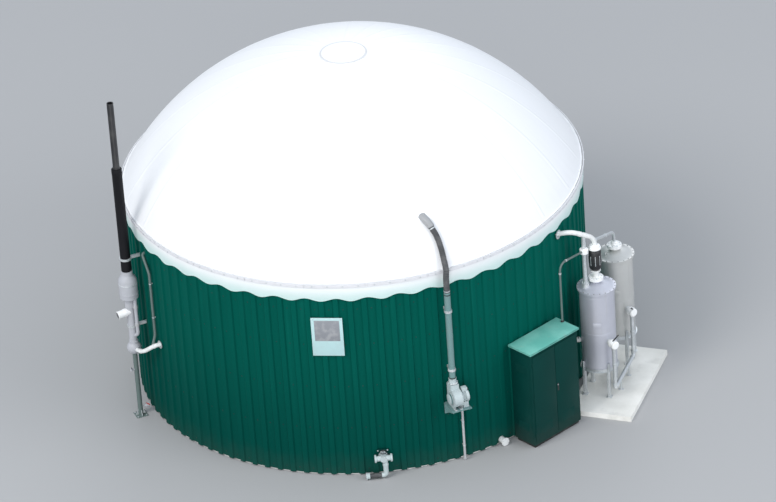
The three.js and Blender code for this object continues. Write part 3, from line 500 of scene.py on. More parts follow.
# %% Building a mesh
class Shape:
    """The mesh of one visible piece: shapes are added to it, each with a finish."""

    def __init__(self, name, place=None):
        self.name = name
        self.place = place or Matrix.Identity(4)
        self.mesh = bmesh.new()
        self.finishes = []

    def faces(self, points, faces, finish, turn=None):
        if finish not in self.finishes:
            self.finishes.append(finish)
        move = self.place @ (turn or Matrix.Identity(4))
        made = [self.mesh.verts.new(move @ Vector(p)) for p in points]
        for around in faces:
            face = self.mesh.faces.new([made[i] for i in around])
            face.material_index = self.finishes.index(finish)

    def turned(self, profile, finish, at=(0, 0, 0), along=UP, sides=40):
        """A profile of (radius, height) turned on the axis. It closes itself: as a ring where both
        ends stand off the axis, and with a flat end where one of them does."""
        starts_open, ends_open = profile[0][0] > ON_AXIS, profile[-1][0] > ON_AXIS
        if ends_open and not starts_open:
            profile = [*profile, (0, profile[-1][1])]
        elif starts_open and not ends_open:
            profile = [(0, profile[0][1]), *profile]
        points = []
        rings = []
        for radius, height in profile:
            spots = [(0, 0)] if radius < ON_AXIS else circle(radius, sides)
            rings.append([len(points) + i % len(spots) for i in range(sides)])
            points += [(x, y, height) for x, y in spots]
        if starts_open and ends_open:
            rings.append(rings[0])
        faces = []
        for low, high in zip(rings, rings[1:]):
            for i in range(sides):
                j = (i + 1) % sides
                faces.append(list(dict.fromkeys([low[i], low[j], high[j], high[i]])))
        self.faces(points, faces, finish, Matrix.Translation(at) @ facing(along))

    def swept(self, line, radius, finish, sides=16):
        """A tube along a line of points; radius is a number or a function of the length so far."""
        line = [Vector(p) for p in line]
        ahead = (line[1] - line[0]).normalized()
        side = ahead.orthogonal().normalized()
        points = []
        travelled = 0.0
        for before, here, after in zip([line[0], *line], line, [*line[1:], line[-1]]):
            travelled += (here - before).length
            step = (after - before).normalized()
            side = (ahead.rotation_difference(step) @ side).normalized()
            ahead = step
            other = ahead.cross(side)
            size = radius(travelled) if callable(radius) else radius
            points += [here + side * x + other * y for x, y in circle(size, sides)]
        self.faces(points, walls(len(line), sides) + ends(len(line), sides), finish)

    def block(self, size, at, finish, turn=None, edge=0.004):
        """A rectangular solid with broken edges, its middle at the place."""
        mesh = bmesh.new()
        bmesh.ops.create_cube(mesh, size=1.0)
        bmesh.ops.scale(mesh, vec=Vector(size), verts=mesh.verts)
        edge = min(edge, min(size) * 0.3)
        bmesh.ops.bevel(mesh, geom=mesh.edges[:], offset=edge, segments=2, profile=0.5, affect="EDGES")
        mesh.verts.index_update()
        faces = [[v.index for v in face.verts] for face in mesh.faces]
        move = Matrix.Translation(at) @ (turn or Matrix.Identity(4))
        self.faces([v.co.copy() for v in mesh.verts], faces, finish, move)
        mesh.free()

    def plate(self, outline, thickness, finish, turn=None):
        """An outline in X and Y, thickened upwards."""
        count = len(outline)
        points = [(x, y, z) for z in (0, thickness) for x, y in outline]
        self.faces(points, ends(2, count) + walls(2, count), finish, turn)

    def done(self, slot, *nodes, sharp=32):
        bmesh.ops.recalc_face_normals(self.mesh, faces=self.mesh.faces)
        for face in self.mesh.faces:
            face.smooth = True
        for edge in self.mesh.edges:
            edge.smooth = len(edge.link_faces) == 2 and edge.calc_face_angle(0) < math.radians(sharp)
        data = bpy.data.meshes.new(self.name)
        self.mesh.to_mesh(data)
        self.mesh.free()
        for finish in self.finishes:
            data.materials.append(finish.material)
        made = bpy.data.objects.new(self.name, data)
        bpy.context.scene.collection.objects.link(made)
        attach(made, ROOT)
        if nodes:
            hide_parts(*nodes)
        print(self.name, len(data.polygons), "faces")
        return made


print("basic shapes: turned, swept, block, plate")

# %% [markdown]
# A piece adds the fittings that this plant is full of to those basic shapes: bars with broken edges,
# bands round pipes, bolts on their washers, and the flat levers of ball valves.


# %% Bars, bands, bolts and levers
class Piece(Shape):
    """One visible piece, with the small fittings that most of them have."""

    def band(self, inner, outer, length, edge, finish, at, along=UP, sides=24, start=0.0):
        """A raised ring round a pipe with sloped edges."""
        end = start + length
        profile = [(inner, start), (outer, start + edge), (outer, end - edge), (inner, end)]
        self.turned(profile, finish, at, along, sides)

    def collar(self, inner, outer, length, edge, finish, middle, along=UP, sides=24):
        """A band with its middle at the place."""
        self.band(inner, outer, length, edge, finish, middle, along, sides, -length / 2)

    def rod(self, start, end, radius, finish, sides=20, edge=0.002):
        """A round bar from start to end with its end edges broken."""
        run = Vector(end) - Vector(start)
        length = run.length
        edge = min(edge, length / 3, radius / 3)
        side = [(radius - edge, 0), (radius, edge), (radius, length - edge), (radius - edge, length)]
        self.turned([(0, 0), *side, (0, length)], finish, start, run, sides)

    def pole(self, foot, low, high, radius, finish, sides=20, edge=0.002):
        """An upright rod between two heights above a place."""
        self.rod(foot + UP * low, foot + UP * high, radius, finish, sides, edge)

    def bolt(self, at, along, size, finish=ZINC):
        """A hexagon head on its washer."""
        low, shoulder = size * 0.2, size * 0.8
        washer = [(0, 0), (size * 1.25, 0), (size * 1.25, low), (0, low)]
        head = [(0, low), (size, low), (size, shoulder), (size * 0.75, size), (0, size)]
        self.turned(washer, finish, at, along, 12)
        self.turned(head, finish, at, along, 6)

    def bolt_ring(self, centre, along, radius, count, size, finish=ZINC):
        turn = facing(along)
        for i in range(count):
            angle = TURN * (i + 0.5) / count
            spot = turn @ Vector((radius * math.cos(angle), radius * math.sin(angle), 0))
            self.bolt(Vector(centre) + spot, along, size, finish)

    def lever(self, at, along, length, finish, width, spindle):
        """A ball valve's flat handle on its spindle, above the valve's body."""
        top = Vector(at) + UP * spindle
        self.rod(at, top, SPINDLE_RADIUS, ZINC, 12)
        run = Vector(along).normalized()
        turn = run.to_track_quat("X", "Z").to_matrix().to_4x4()
        middle = top + run * (length / 2 - 0.02)
        self.block((length, width, LEVER_THICKNESS), middle, finish, turn, 0.003)


print("fittings: band, collar, rod, pole, bolt, bolt ring, lever")

# %% [markdown]
# Pipes follow two kinds of line. A rigid pipe has straight runs with a round bend at each corner. A
# hose flows through its points in one smooth curve, which is closest to how it hangs: the curve's
# pace follows the distance between points, so that it doesn't swing out between near ones.


# %% Lines for pipes and hoses
def bow(start, corner, end, steps):
    """A curve from start to end that leans to the corner."""
    shares = [i / steps for i in range(steps + 1)]
    return [start * (1 - t) ** 2 + corner * 2 * t * (1 - t) + end * t * t for t in shares]


def bent(points, bend, steps=8):
    points = [Vector(p) for p in points]
    line = [points[0]]
    for before, corner, after in zip(points, points[1:], points[2:]):
        start = corner + (before - corner).normalized() * bend
        end = corner + (after - corner).normalized() * bend
        line += bow(start, corner, end, steps)
    return [*line, points[-1]]


def flowing(points, steps):
    padded = [points[0] * 2 - points[1], *points, points[-1] * 2 - points[-2]]
    line = []
    for a, b, c, d in zip(padded, padded[1:], padded[2:], padded[3:]):
        pace = [math.sqrt((q - p).length) for p, q in ((a, b), (b, c), (c, d))]
        leave = ((b - a) / pace[0] - (c - a) / (pace[0] + pace[1]) + (c - b) / pace[1]) * pace[1]
        reach = ((c - b) / pace[1] - (d - b) / (pace[1] + pace[2]) + (d - c) / pace[2]) * pace[1]
        for i in range(steps):
            t = i / steps
            line.append(b * (2 * t ** 3 - 3 * t ** 2 + 1) + leave * (t ** 3 - 2 * t ** 2 + t)
                        + c * (3 * t ** 2 - 2 * t ** 3) + reach * (t ** 3 - t ** 2))
    return [*line, points[-1]]


def length_of(line):
    return sum((b - a).length for a, b in zip(line, line[1:]))


def keep(node, finish):
    """A solid of the frame that stays, with a finish of its own."""
    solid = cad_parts[node]
    solid.data.materials.clear()
    solid.data.materials.append(finish.material)


def thicken(cloth, thickness, offset):
    """Gives a cloth without thickness its two sides."""
    solid = cloth.modifiers.new("cloth", "SOLIDIFY")
    solid.thickness = thickness
    solid.offset = offset


print("shape tools ready")

# %% [markdown]
# The tank first. Its concrete wall and floor slab stand behind the sheet and show only as edges, so
# their solids stay. The ribbed sheet's solid has the right profile too. What it lacks is how it is
# held: rows of screws with rubber washers in the flats beside the ribs, and a lap at each board's
# edge. Screws are small and many, so one loop makes them all as one mesh.

# %% Concrete and sheet
WALL_PARTS = 4
SHEET_TROUGH = 4.14
SHEET_CREST = 4.17
RIBS = 104
SCREW_ROWS = (0.12, 0.98, 1.84, 2.7, 3.42)
SCREW_SHARE, LAP_SHARE = 0.25, 0.75
SCREW_REACH = SHEET_TROUGH * math.cos(math.pi / RIBS * 0.5)
LAP_SIZE = (0.004, 0.034, 3.84)
LAP_AT = (SHEET_CREST - 0.0036, 0, 1.955)
for part in range(1, WALL_PARTS + 1):
    keep(f"wall_{part}", FINISH["concrete"])
    keep(f"cladding_{part}", FINISH["green"])
keep("floor_slab", FINISH["concrete"])
keep("rim_ring", CLOTH)

screws = Piece("cladding_screws")
for row in SCREW_ROWS:
    for rib in range(RIBS):
        azimuth = (rib + SCREW_SHARE) * 360 / RIBS
        spot = polar(SCREW_REACH, azimuth, row), polar(1, azimuth)
        screws.turned([(0, 0), (0.012, 0), (0.012, 0.002), (0, 0.002)], RUBBER, *spot, 8)
        screws.turned([(0, 0.002), (0.007, 0.002), (0.007, 0.007), (0, 0.008)], FINISH["green"], *spot, 6)
screws.done("green_sheet")

laps = Piece("cladding_laps")
for board in range(BOARDS):
    azimuth = (board * RIBS / BOARDS + LAP_SHARE) * 360 / RIBS
    turn = station(azimuth) @ Matrix.Translation(LAP_AT)
    laps.block(LAP_SIZE, (0, 0, 0), FINISH["green"], turn, 0.0012)
laps.done("green_sheet")

# %% [markdown]
# The skirt is the membrane's free edge. It hangs over the rim, cut in scallops, and because it is only
# a millimetre thick it moves in the wind and never lies quite flat. A welded cord stiffens its hem. It
# is built as a strip of many columns whose lower edge follows the scallops and whose radius waves a
# little more the lower it hangs.

# %% The scalloped skirt
SKIRT_TOP = 3.955
SKIRT_LOW = 3.612
SKIRT_REACH = 4.1822
SCALLOPS = 48
SCALLOP_DEPTH = 0.06
SKIRT_COLUMNS = SCALLOPS * 12
SKIRT_ROWS = 10
SKIRT_WAVE = 0.0058
HEM_RADIUS, HEM_SIDES = 0.0045, 6
CLOTH_THICKNESS = 0.003


def skirt_edge(share):
    """The hem's height at a share of the way round."""
    return SKIRT_LOW + SCALLOP_DEPTH * math.cos(math.pi * share * SCALLOPS) ** 2


def skirt_wave(share, hang):
    """How far the cloth stands out: 0 under the rail, more towards the hem."""
    angle = TURN * share
    wave = math.sin(angle * 37 + 1.1) * 0.45 + math.sin(angle * 83 + 0.4) * 0.3 + math.sin(angle * 11) * 0.35
    return SKIRT_WAVE * wave * hang ** 1.5


skirt = Piece("skirt_cloth")
points = []
faces = []
stride = SKIRT_ROWS + 1
for column in range(SKIRT_COLUMNS):
    share = column / SKIRT_COLUMNS
    low = skirt_edge(share)
    here, there = column * stride, (column + 1) % SKIRT_COLUMNS * stride
    for row in range(stride):
        z = low + (SKIRT_TOP - low) * row / SKIRT_ROWS
        points.append(polar(SKIRT_REACH + skirt_wave(share, 1 - row / SKIRT_ROWS), 360 * share, z))
    for row in range(SKIRT_ROWS):
        faces.append([here + row, there + row, there + row + 1, here + row + 1])
skirt.faces(points, faces, CLOTH)
skirt = skirt.done("membrane", "membrane_skirt", sharp=60)
thicken(skirt, CLOTH_THICKNESS, 0)

hem = Piece("skirt_hem")
points = []
for column in range(SKIRT_COLUMNS):
    share = column / SKIRT_COLUMNS
    here = polar(SKIRT_REACH + skirt_wave(share, 1), 360 * share, skirt_edge(share) + 0.004)
    out = polar(1, 360 * share)
    points += [here + out * x + UP * y for x, y in circle(HEM_RADIUS, HEM_SIDES)]
hem.faces(points, walls(SKIRT_COLUMNS, HEM_SIDES, loop=True), CLOTH)
hem = hem.done("membrane")

# %% [markdown]
# The rail is what keeps the gas in: flat bars, end to end, pressed on the membrane by bolts every
# quarter of a metre. From the ground it is a thin grey line with small joints. Each bar is its own
# curved block, so that light catches the gaps.

# %% The clamping rail
RAIL_BARS, BAR_STEPS, BOLTS_A_BAR = 24, 8, 4
RAIL_INNER, RAIL_OUTER, BOLT_SIZE = 4.1905, 4.2045, 0.012
RAIL_LOW, RAIL_HIGH = 3.899, 3.955
RAIL_JOINT = 0.012 / (RAIL_OUTER + BOLT_SIZE)
RAIL_SECTION = ((RAIL_INNER, RAIL_LOW), (RAIL_OUTER, RAIL_LOW), (RAIL_OUTER, RAIL_HIGH),
                (RAIL_INNER, RAIL_HIGH))
rail = Piece("rail_bars")
for bar in range(RAIL_BARS):
    start = TURN * bar / RAIL_BARS + RAIL_JOINT / 2
    run = TURN / RAIL_BARS - RAIL_JOINT
    angles = [start + run * i / BAR_STEPS for i in range(BAR_STEPS + 1)]
    points = [(r * math.cos(angle), r * math.sin(angle), z) for angle in angles for r, z in RAIL_SECTION]
    rail.faces(points, walls(len(angles), 4) + ends(len(angles), 4), FINISH["rail"])
    for k in range(BOLTS_A_BAR):
        azimuth = math.degrees(start + run * (k + 0.5) / BOLTS_A_BAR)
        rail.bolt(polar(RAIL_OUTER, azimuth, (RAIL_LOW + RAIL_HIGH) / 2), polar(1, azimuth), BOLT_SIZE)
rail.done("galvanised", "clamp_rail")

# %% [markdown]
# The dome is held up by air alone, so it takes the shape of least strain: part of a sphere, taut and
# smooth. The cloth comes on rolls, so the dome is welded from tapered strips, and each weld is two
# layers of cloth, a low ridge the width of a hand. Near the rail the clamp draws the cloth in small
# puckers that die out within half a metre. A round patch closes the crown where the strips meet.

# %% The dome
DOME_RADIUS = 4.15
DOME_BASE = 3.9603
DOME_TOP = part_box("dome_membrane")[1].z
DOME_RISE = DOME_TOP - DOME_BASE
SPHERE = (DOME_RADIUS ** 2 + DOME_RISE ** 2) / (2 * DOME_RISE)
SPHERE_Z = DOME_TOP - SPHERE
GORES = 24
DOME_COLUMNS, DOME_ROWS = GORES * 16, 56
INNER_REACH = 0.12
PUCKERS, PUCKER_DEPTH, PUCKER_FADE = 96, 0.005, 0.16
CROWN_RADIUS = 0.43


def on_dome(reach, angle, off=0.0):
    """A point over the dome at a distance from its axis, lifted off the skin."""
    height = math.sqrt(max(SPHERE ** 2 - reach ** 2, 0))
    out = Vector((reach * math.cos(angle), reach * math.sin(angle), height))
    return out + UP * SPHERE_Z + out.normalized() * off


dome = Piece("dome_cloth")
points = []
for row in range(1, DOME_ROWS + 1):
    reach = INNER_REACH + (DOME_RADIUS - INNER_REACH) * row / DOME_ROWS
    from_rim = DOME_RADIUS - reach
    depth = PUCKER_DEPTH * math.exp(-from_rim / PUCKER_FADE) * (1 - math.exp(-from_rim / 0.03))
    for column in range(DOME_COLUMNS):
        angle = TURN * column / DOME_COLUMNS
        points.append(on_dome(reach, angle, -depth * (0.5 + 0.5 * math.cos(angle * PUCKERS))))
top = len(points)
points.append(on_dome(0, 0))
fan = [[top, (k + 1) % DOME_COLUMNS, k] for k in range(DOME_COLUMNS)]
dome.faces(points, walls(DOME_ROWS, DOME_COLUMNS) + fan, CLOTH)
dome = dome.done("membrane", "dome_membrane", sharp=60)
thicken(dome, CLOTH_THICKNESS, -1)

# %% Seams and crown
SEAM_ROWS, SEAM_HALF_WIDTH = 40, 0.045
SEAM_START, SEAM_END = CROWN_RADIUS * 0.9, DOME_RADIUS - 0.03
SEAM_SECTION = ((-1, -0.002), (-0.8, 0.0016), (0.8, 0.0016), (1, -0.002))
CROWN_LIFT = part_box("crown_disc")[1].z - DOME_TOP
seams = Piece("dome_seams")
for gore in range(GORES):
    middle = TURN * (gore + 0.5) / GORES
    points = []
    for row in range(SEAM_ROWS + 1):
        reach = SEAM_START + (SEAM_END - SEAM_START) * row / SEAM_ROWS
        spread = SEAM_HALF_WIDTH / reach
        points += [on_dome(reach, middle + side * spread, off) for side, off in SEAM_SECTION]
    seams.faces(points, walls(SEAM_ROWS + 1, 4) + ends(SEAM_ROWS + 1, 4), CLOTH)
seams = seams.done("membrane", sharp=25)

crown = Piece("crown_patch")
top_side = [(CROWN_RADIUS * share, on_dome(CROWN_RADIUS * share, 0).z + CROWN_LIFT)
            for share in (0, 0.25, 0.5, 0.75, 0.9)]
edge_z = on_dome(CROWN_RADIUS, 0).z
crown.turned([*top_side, (CROWN_RADIUS * 0.955, edge_z + CROWN_LIFT * 0.75), (CROWN_RADIUS, edge_z + 0.004),
              (CROWN_RADIUS, edge_z - 0.002), (0, DOME_TOP - 0.012)], CLOTH, sides=96)
weld_at = UP * (on_dome(CROWN_RADIUS * 0.93, 0).z + CROWN_LIFT * 0.8)
crown.turned([(CROWN_RADIUS * 0.87, 0.004), (CROWN_RADIUS * 0.88, 0.006), (CROWN_RADIUS * 0.985, -0.003),
              (CROWN_RADIUS * 0.99, -0.007)], FINISH["cord"], weld_at, sides=96)
crown.done("membrane", "crown_disc", sharp=25)

# %% [markdown]
# The sign stands off the ribs on a small steel frame. It is a plain white plate, painted pale blue green
# as painted shade, with a plain grey field in its upper part, held by four screws. Its edges are broken
# so that they catch the light.

# %% The sign
SIGN_WIDTH, SIGN_HEIGHT, SIGN_THICKNESS = 0.56, 0.77, 0.008
SIGN_REACH, SIGN_AZIMUTH, SIGN_Z = 4.192, -100.2, 2.9
sign = Piece("sign_board", station(SIGN_AZIMUTH))
sign.block((SIGN_THICKNESS, SIGN_WIDTH, SIGN_HEIGHT), (SIGN_REACH - SIGN_THICKNESS / 2, 0, SIGN_Z),
           FINISH["board"], edge=0.002)
sign.block((0.003, SIGN_WIDTH * 0.8, SIGN_HEIGHT * 0.54), (SIGN_REACH, 0, SIGN_Z + SIGN_HEIGHT * 0.16),
           FINISH["panel"], edge=0.0008)
for y, z in corners(SIGN_WIDTH * 0.44, SIGN_HEIGHT * 0.46):
    sign.bolt((SIGN_REACH, y, SIGN_Z + z), (1, 0, 0), 0.008)
sign.done("white_plastic", "sign_plate")
keep("sign_frame", ZINC)

# %% [markdown]
# A small blower keeps the dome taut. A motor turns a fan in a scroll shaped housing, and the air leaves
# straight up into the riser. The scroll is an outline that grows as it goes round, closed by two side
# plates; the motor is an outline with cooling fins, drawn out lengthwise; the intake is a pleated
# filter. All three sit on a folded shelf on the wall.

# %% The blower's outlines
AIR_AZIMUTH = -71
AIR = station(AIR_AZIMUTH)
SHELF_TOP = 1.2503
FAN = Vector((4.4, 0, SHELF_TOP + 0.2))
FAN_HALF = 0.076
FAN_OUTLET = FAN.z + 0.35
RISER_REACH = 4.296
RISER_AT = Vector((RISER_REACH, 0, 0))
MOTOR_WAY, INTAKE_WAY = (0, 1, 0), (0, -1, 0)
SCROLL_RADIUS, SCROLL_GROWTH, SCROLL_TOP = 0.148, 0.034, 0.24
SCROLL_START, SCROLL_TURN, SCROLL_STEPS = 98, 278, 30


def on_fan(y, x=0.0, z=0.0):
    """A place beside the fan's middle; y runs along the wall, to the motor."""
    return FAN + Vector((x, y, z))


def across(y):
    """The turn that draws an outline out along the wall."""
    return Matrix.Translation(on_fan(y)) @ Matrix.Rotation(math.radians(90), 4, "X")


def star(inner, outer, teeth, share=0.45):
    """An outline whose radius steps between two values, as fins and pleats do."""
    outline = []
    for i in range(teeth):
        for step, radius in ((0, inner), (share, inner), (share + 0.1, outer), (0.9, outer)):
            angle = TURN * (i + step) / teeth
            outline.append((radius * math.cos(angle), radius * math.sin(angle)))
    return outline


def scroll(grow):
    """The housing's outline, which widens as it goes round and ends in a straight outlet."""
    outline = []
    for i in range(SCROLL_STEPS + 1):
        share = i / SCROLL_STEPS
        angle = math.radians(SCROLL_START - SCROLL_TURN * share)
        radius = SCROLL_RADIUS + SCROLL_GROWTH * share + grow
        outline.append((radius * math.cos(angle), radius * math.sin(angle)))
    outer = SCROLL_RADIUS + SCROLL_GROWTH + grow
    outline += [(-outer, SCROLL_TOP), (-0.026 + grow, SCROLL_TOP)]
    return outline[::-1]


print("fan outlet at height:", round(FAN_OUTLET, 2))

# %% The fan
blower = Piece("blower_scroll", AIR)
for y, thickness, grow in ((FAN_HALF, FAN_HALF * 2, 0), (-FAN_HALF, 0.005, 0.008), (0.081, 0.005, 0.008)):
    blower.plate(scroll(grow), thickness, MACHINE, across(y))
blower.bolt_ring(on_fan(-0.081), INTAKE_WAY, 0.135, 8, 0.007)
blower.turned([(0.06, 0), (0.078, 0), (0.078, 0.006), (0.066, 0.012), (0.06, 0.012)], MACHINE,
              on_fan(0.081), MOTOR_WAY)
neck_at = Vector((RISER_REACH, 0, FAN.z + 0.2))
neck_height = FAN_OUTLET - neck_at.z
blower.turned([(0, 0), (0.072, 0), (0.072, 0.045), (0.066, 0.075), (0.066, 0.135), (0.072, 0.14),
               (0.072, neck_height), (0, neck_height)], MACHINE, neck_at)
blower.pole(RISER_AT, FAN_OUTLET - 0.091, FAN_OUTLET - 0.079, 0.095, ZINC, 36)
blower.bolt_ring(RISER_AT + UP * (FAN_OUTLET - 0.079), UP, 0.0831, 6, 0.007)
for side in (-1, 1):
    blower.block((0.24, 0.006, 0.1), (FAN.x, side * 0.066, SHELF_TOP + 0.05), ZINC)
    blower.block((0.26, 0.05, 0.006), (FAN.x, side * 0.05, SHELF_TOP + 0.003), ZINC)
for x, y in corners(0.11, 0.05):
    blower.bolt((FAN.x + x, y, SHELF_TOP + 0.006), UP, 0.009)
blower.done("white_plastic", "blower_fan")

# %% The motor
MOTOR_MIDDLE, MOTOR_END = 0.16, 0.235
motor = Piece("motor_body", AIR)
motor.plate(star(0.086, 0.104, 28), 0.07, MACHINE, across(0.175))
motor.turned([(0, 0), (0.07, 0), (0.1, 0.012), (0.106, 0.03), (0, 0.03)], MACHINE, on_fan(0.0853),
             MOTOR_WAY)
motor.turned([(0, 0), (0.11, 0), (0.113, 0.006), (0.113, 0.044), (0.102, 0.057), (0, 0.06)], MACHINE,
             on_fan(MOTOR_END - 0.062), MOTOR_WAY)
for ring in (0.03, 0.052, 0.074):
    motor.turned([(ring - 0.005, 0), (ring - 0.003, 0.0035), (ring + 0.003, 0.0035), (ring + 0.005, 0)],
                 BLACK, on_fan(MOTOR_END - 0.0045), MOTOR_WAY)
motor.block((0.095, 0.094, 0.06), on_fan(MOTOR_MIDDLE, z=0.13), MACHINE)
motor.block((0.1, 0.1, 0.012), on_fan(MOTOR_MIDDLE, z=0.1655), MACHINE)
motor.rod(on_fan(MOTOR_MIDDLE + 0.045, 0.03, 0.13), on_fan(MOTOR_MIDDLE + 0.072, 0.03, 0.13), 0.014,
          BLACK, 12)
for x in (-0.06, 0.06):
    motor.block((0.022, 0.1, 0.1), (FAN.x + x, MOTOR_MIDDLE, SHELF_TOP + 0.056), MACHINE)
    motor.block((0.05, 0.108, 0.01), (FAN.x + x, MOTOR_MIDDLE, SHELF_TOP + 0.005), MACHINE)
for x, y in corners(0.069, 0.035):
    motor.bolt((FAN.x + x, MOTOR_MIDDLE + y, SHELF_TOP + 0.01), UP, 0.008)
motor.done("galvanised", "blower_motor")

# %% The intake and the conduit
intake = Piece("intake_cartridge", AIR)
intake.plate(star(0.082, 0.093, 40, 0.4), 0.028, PALE_PIPE, across(-0.0955))
intake.turned([(0, 0), (0.1, 0), (0.1, 0.01), (0, 0.01)], MACHINE, on_fan(-0.0855), INTAKE_WAY)
intake.turned([(0, 0), (0.098, 0), (0.1, 0.003), (0.1, 0.009), (0.094, 0.0115), (0, 0.0115)], MACHINE,
              on_fan(-0.1233), INTAKE_WAY)
intake.bolt(on_fan(-0.131), INTAKE_WAY, 0.008)
intake.done("white_plastic", "intake_filter")
keep("blower_shelf", PALE_PIPE)

CONDUIT = Vector((4.235, 0.17, 0))
CONDUIT_RADIUS, CONDUIT_COLLAR = 0.022, 0.0245
CONDUIT_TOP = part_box("blower_conduit")[1].z
conduit_back = CONDUIT.x - CONDUIT_RADIUS
conduit = Piece("conduit_pipe", AIR)
conduit.pole(CONDUIT, 0.02, CONDUIT_TOP, CONDUIT_RADIUS, GREY)
for z in (0.3, 0.8):
    conduit.band(CONDUIT_RADIUS + 0.0002, CONDUIT_COLLAR, 0.022, 0, ZINC, CONDUIT + UP * z, sides=40)
    conduit.block((conduit_back - SHEET_CREST, 0.03, 0.018),
                  ((conduit_back + SHEET_CREST) / 2, CONDUIT.y, z + 0.011), ZINC)
conduit.pole(CONDUIT, CONDUIT_TOP - 0.05, CONDUIT_TOP, CONDUIT_COLLAR, ZINC)
conduit.done("galvanised", "blower_conduit")

# %% [markdown]
# The air line climbs the wall as a pale steel pipe in two lengths, then turns into a ribbed hose that
# bends over the rim and lies on the dome. A hose keeps its bore in a bend because it is corrugated, so
# its radius follows a wave along its length. It is held from end to end: clamped on the riser, and
# strapped into a sleeve of membrane cloth that is welded to the dome.

# %% Riser and hose
RISER_TOP, RISER_JOINT = 3.56, 2.62
HOSE_RADIUS, HOSE_PITCH, HOSE_WAVE = 0.056, 0.036, 0.0045
HOSE_OFF = HOSE_RADIUS + 0.001
riser = Piece("riser_pipe", AIR)
riser.pole(RISER_AT, FAN_OUTLET + HAIR, RISER_TOP, 0.0565, PALE_PIPE, 32)
riser.band(0.056, 0.058, 0.09, 0.002, PALE_PIPE, RISER_AT + UP * RISER_JOINT, sides=40)
for z in (FAN_OUTLET + 0.004, RISER_TOP - 0.055):
    riser.band(0.0565, 0.06, 0.02, 0.001, RUBBER, RISER_AT + UP * z, sides=40)
riser.done("galvanised", "air_riser")
for clip in (1, 2):
    keep(f"riser_clip_{clip}", ZINC)


def over_dome(from_top, azimuth, off):
    reach = (SPHERE + off) * math.sin(math.radians(from_top))
    return polar(reach, azimuth, SPHERE_Z + (SPHERE + off) * math.cos(math.radians(from_top)))


hose_line = flowing([
    polar(RISER_REACH, AIR_AZIMUTH, RISER_TOP + HAIR),
    polar(RISER_REACH, AIR_AZIMUTH, RISER_TOP + 0.14),
    polar(RISER_REACH + 0.004, AIR_AZIMUTH, RISER_TOP + 0.3),
    polar(RISER_REACH - 0.008, AIR_AZIMUTH + 0.2, RISER_TOP + 0.43),
    over_dome(57.4, AIR_AZIMUTH + 0.6, HOSE_OFF + 0.026),
    over_dome(54.7, AIR_AZIMUTH + 0.8, HOSE_OFF + 0.004),
    over_dome(52.2, AIR_AZIMUTH + 0.6, HOSE_OFF),
    over_dome(50.2, AIR_AZIMUTH - 0.1, HOSE_OFF),
], 36)
HOSE_LENGTH = length_of(hose_line)


def hose_wave(travelled):
    if travelled < 0.07 or travelled > HOSE_LENGTH - 0.05:
        return HOSE_RADIUS - 0.001
    return HOSE_RADIUS - HOSE_WAVE + HOSE_WAVE * math.cos(TURN * travelled / HOSE_PITCH)


hose = Piece("hose_tube")
hose.swept(hose_line, hose_wave, FINISH["hose"], 20)
hose_end = hose_line[-1]
hose_way = (hose_end - hose_line[-2]).normalized()
for at, way in ((hose_line[0] + UP * 0.03, UP), (hose_end - hose_way * 0.03, hose_way)):
    hose.collar(HOSE_RADIUS - 0.003, HOSE_RADIUS + 0.001, 0.018, 0, ZINC, at, way, 32)
hose.done("hose", "air_hose")
print("air hose length in metres:", round(HOSE_LENGTH, 2))

# %% The hose's sleeve
SLEEVE_STEPS, SLEEVE_SIDES = 24, 28
SLEEVE_RADIUS, SLEEVE_BULGE, SLEEVE_LIFT = 0.064, 0.004, 0.0025
SPHERE_MIDDLE = UP * SPHERE_Z
sleeve_line = bow(hose_end + hose_way * HAIR, hose_end + hose_way * 0.13,
                  over_dome(47.3, AIR_AZIMUTH - 1.4, -0.04), SLEEVE_STEPS)
SLEEVE_LENGTH = round(length_of(sleeve_line), 2)
sleeve = Piece("inlet_sleeve")
points = []
for i, here in enumerate(sleeve_line):
    share = i / SLEEVE_STEPS
    way = (sleeve_line[min(i + 1, SLEEVE_STEPS)] - sleeve_line[max(i - 1, 0)]).normalized()
    side = way.cross((here - SPHERE_MIDDLE).normalized()).normalized()
    rise = side.cross(way).normalized()
    for k in range(SLEEVE_SIDES):
        angle = TURN * k / SLEEVE_SIDES
        fold = SLEEVE_LIFT * math.sin(angle * 7) * math.exp(-((share - 0.12) / 0.12) ** 2)
        size = SLEEVE_RADIUS + SLEEVE_BULGE * math.sin(math.pi * share) + fold
        widen = 1 + 0.1 * share
        spot = here + side * math.cos(angle) * size * widen + rise * math.sin(angle) * size
        from_middle = spot - SPHERE_MIDDLE
        if from_middle.length < SPHERE + SLEEVE_LIFT:
            spot = SPHERE_MIDDLE + from_middle.normalized() * (SPHERE + SLEEVE_LIFT)
        points.append(spot)
# painted shade: the white membrane sleeve gets a grey finish
sleeve.faces(points, walls(len(sleeve_line), SLEEVE_SIDES), FINISH["sleeve"])
sleeve = sleeve.done("membrane", "dome_inlet_sleeve", sharp=70)
thicken(sleeve, 0.002, 0)
print("sleeve length in metres:", SLEEVE_LENGTH)

# %% [markdown]
# The control cabinet is a sheet steel housing on a plinth: a dark body, two door leaves with a gap
# between them, hinges, a swing handle, and louvres in its doors and sides so that it can breathe.
# Its roof overhangs on all sides and is coloured a much paler sea green than the body.

# %% The cabinet's body
CABINET = station(-49.5)
CABINET_SHIFT = 0.26
BODY_DEPTH, BODY_WIDTH, BODY_HEIGHT, PLINTH = 0.5, 1.18, 1.89, 0.06
BODY = Vector((4.466, CABINET_SHIFT, PLINTH + BODY_HEIGHT / 2))
FRONT = BODY.x + BODY_DEPTH / 2
LOUVRE_PITCH = 0.032
LOUVRE_FACES = ((0, 1, 5, 4), (4, 5, 2, 3), (0, 4, 3), (1, 2, 5), (0, 3, 2, 1))


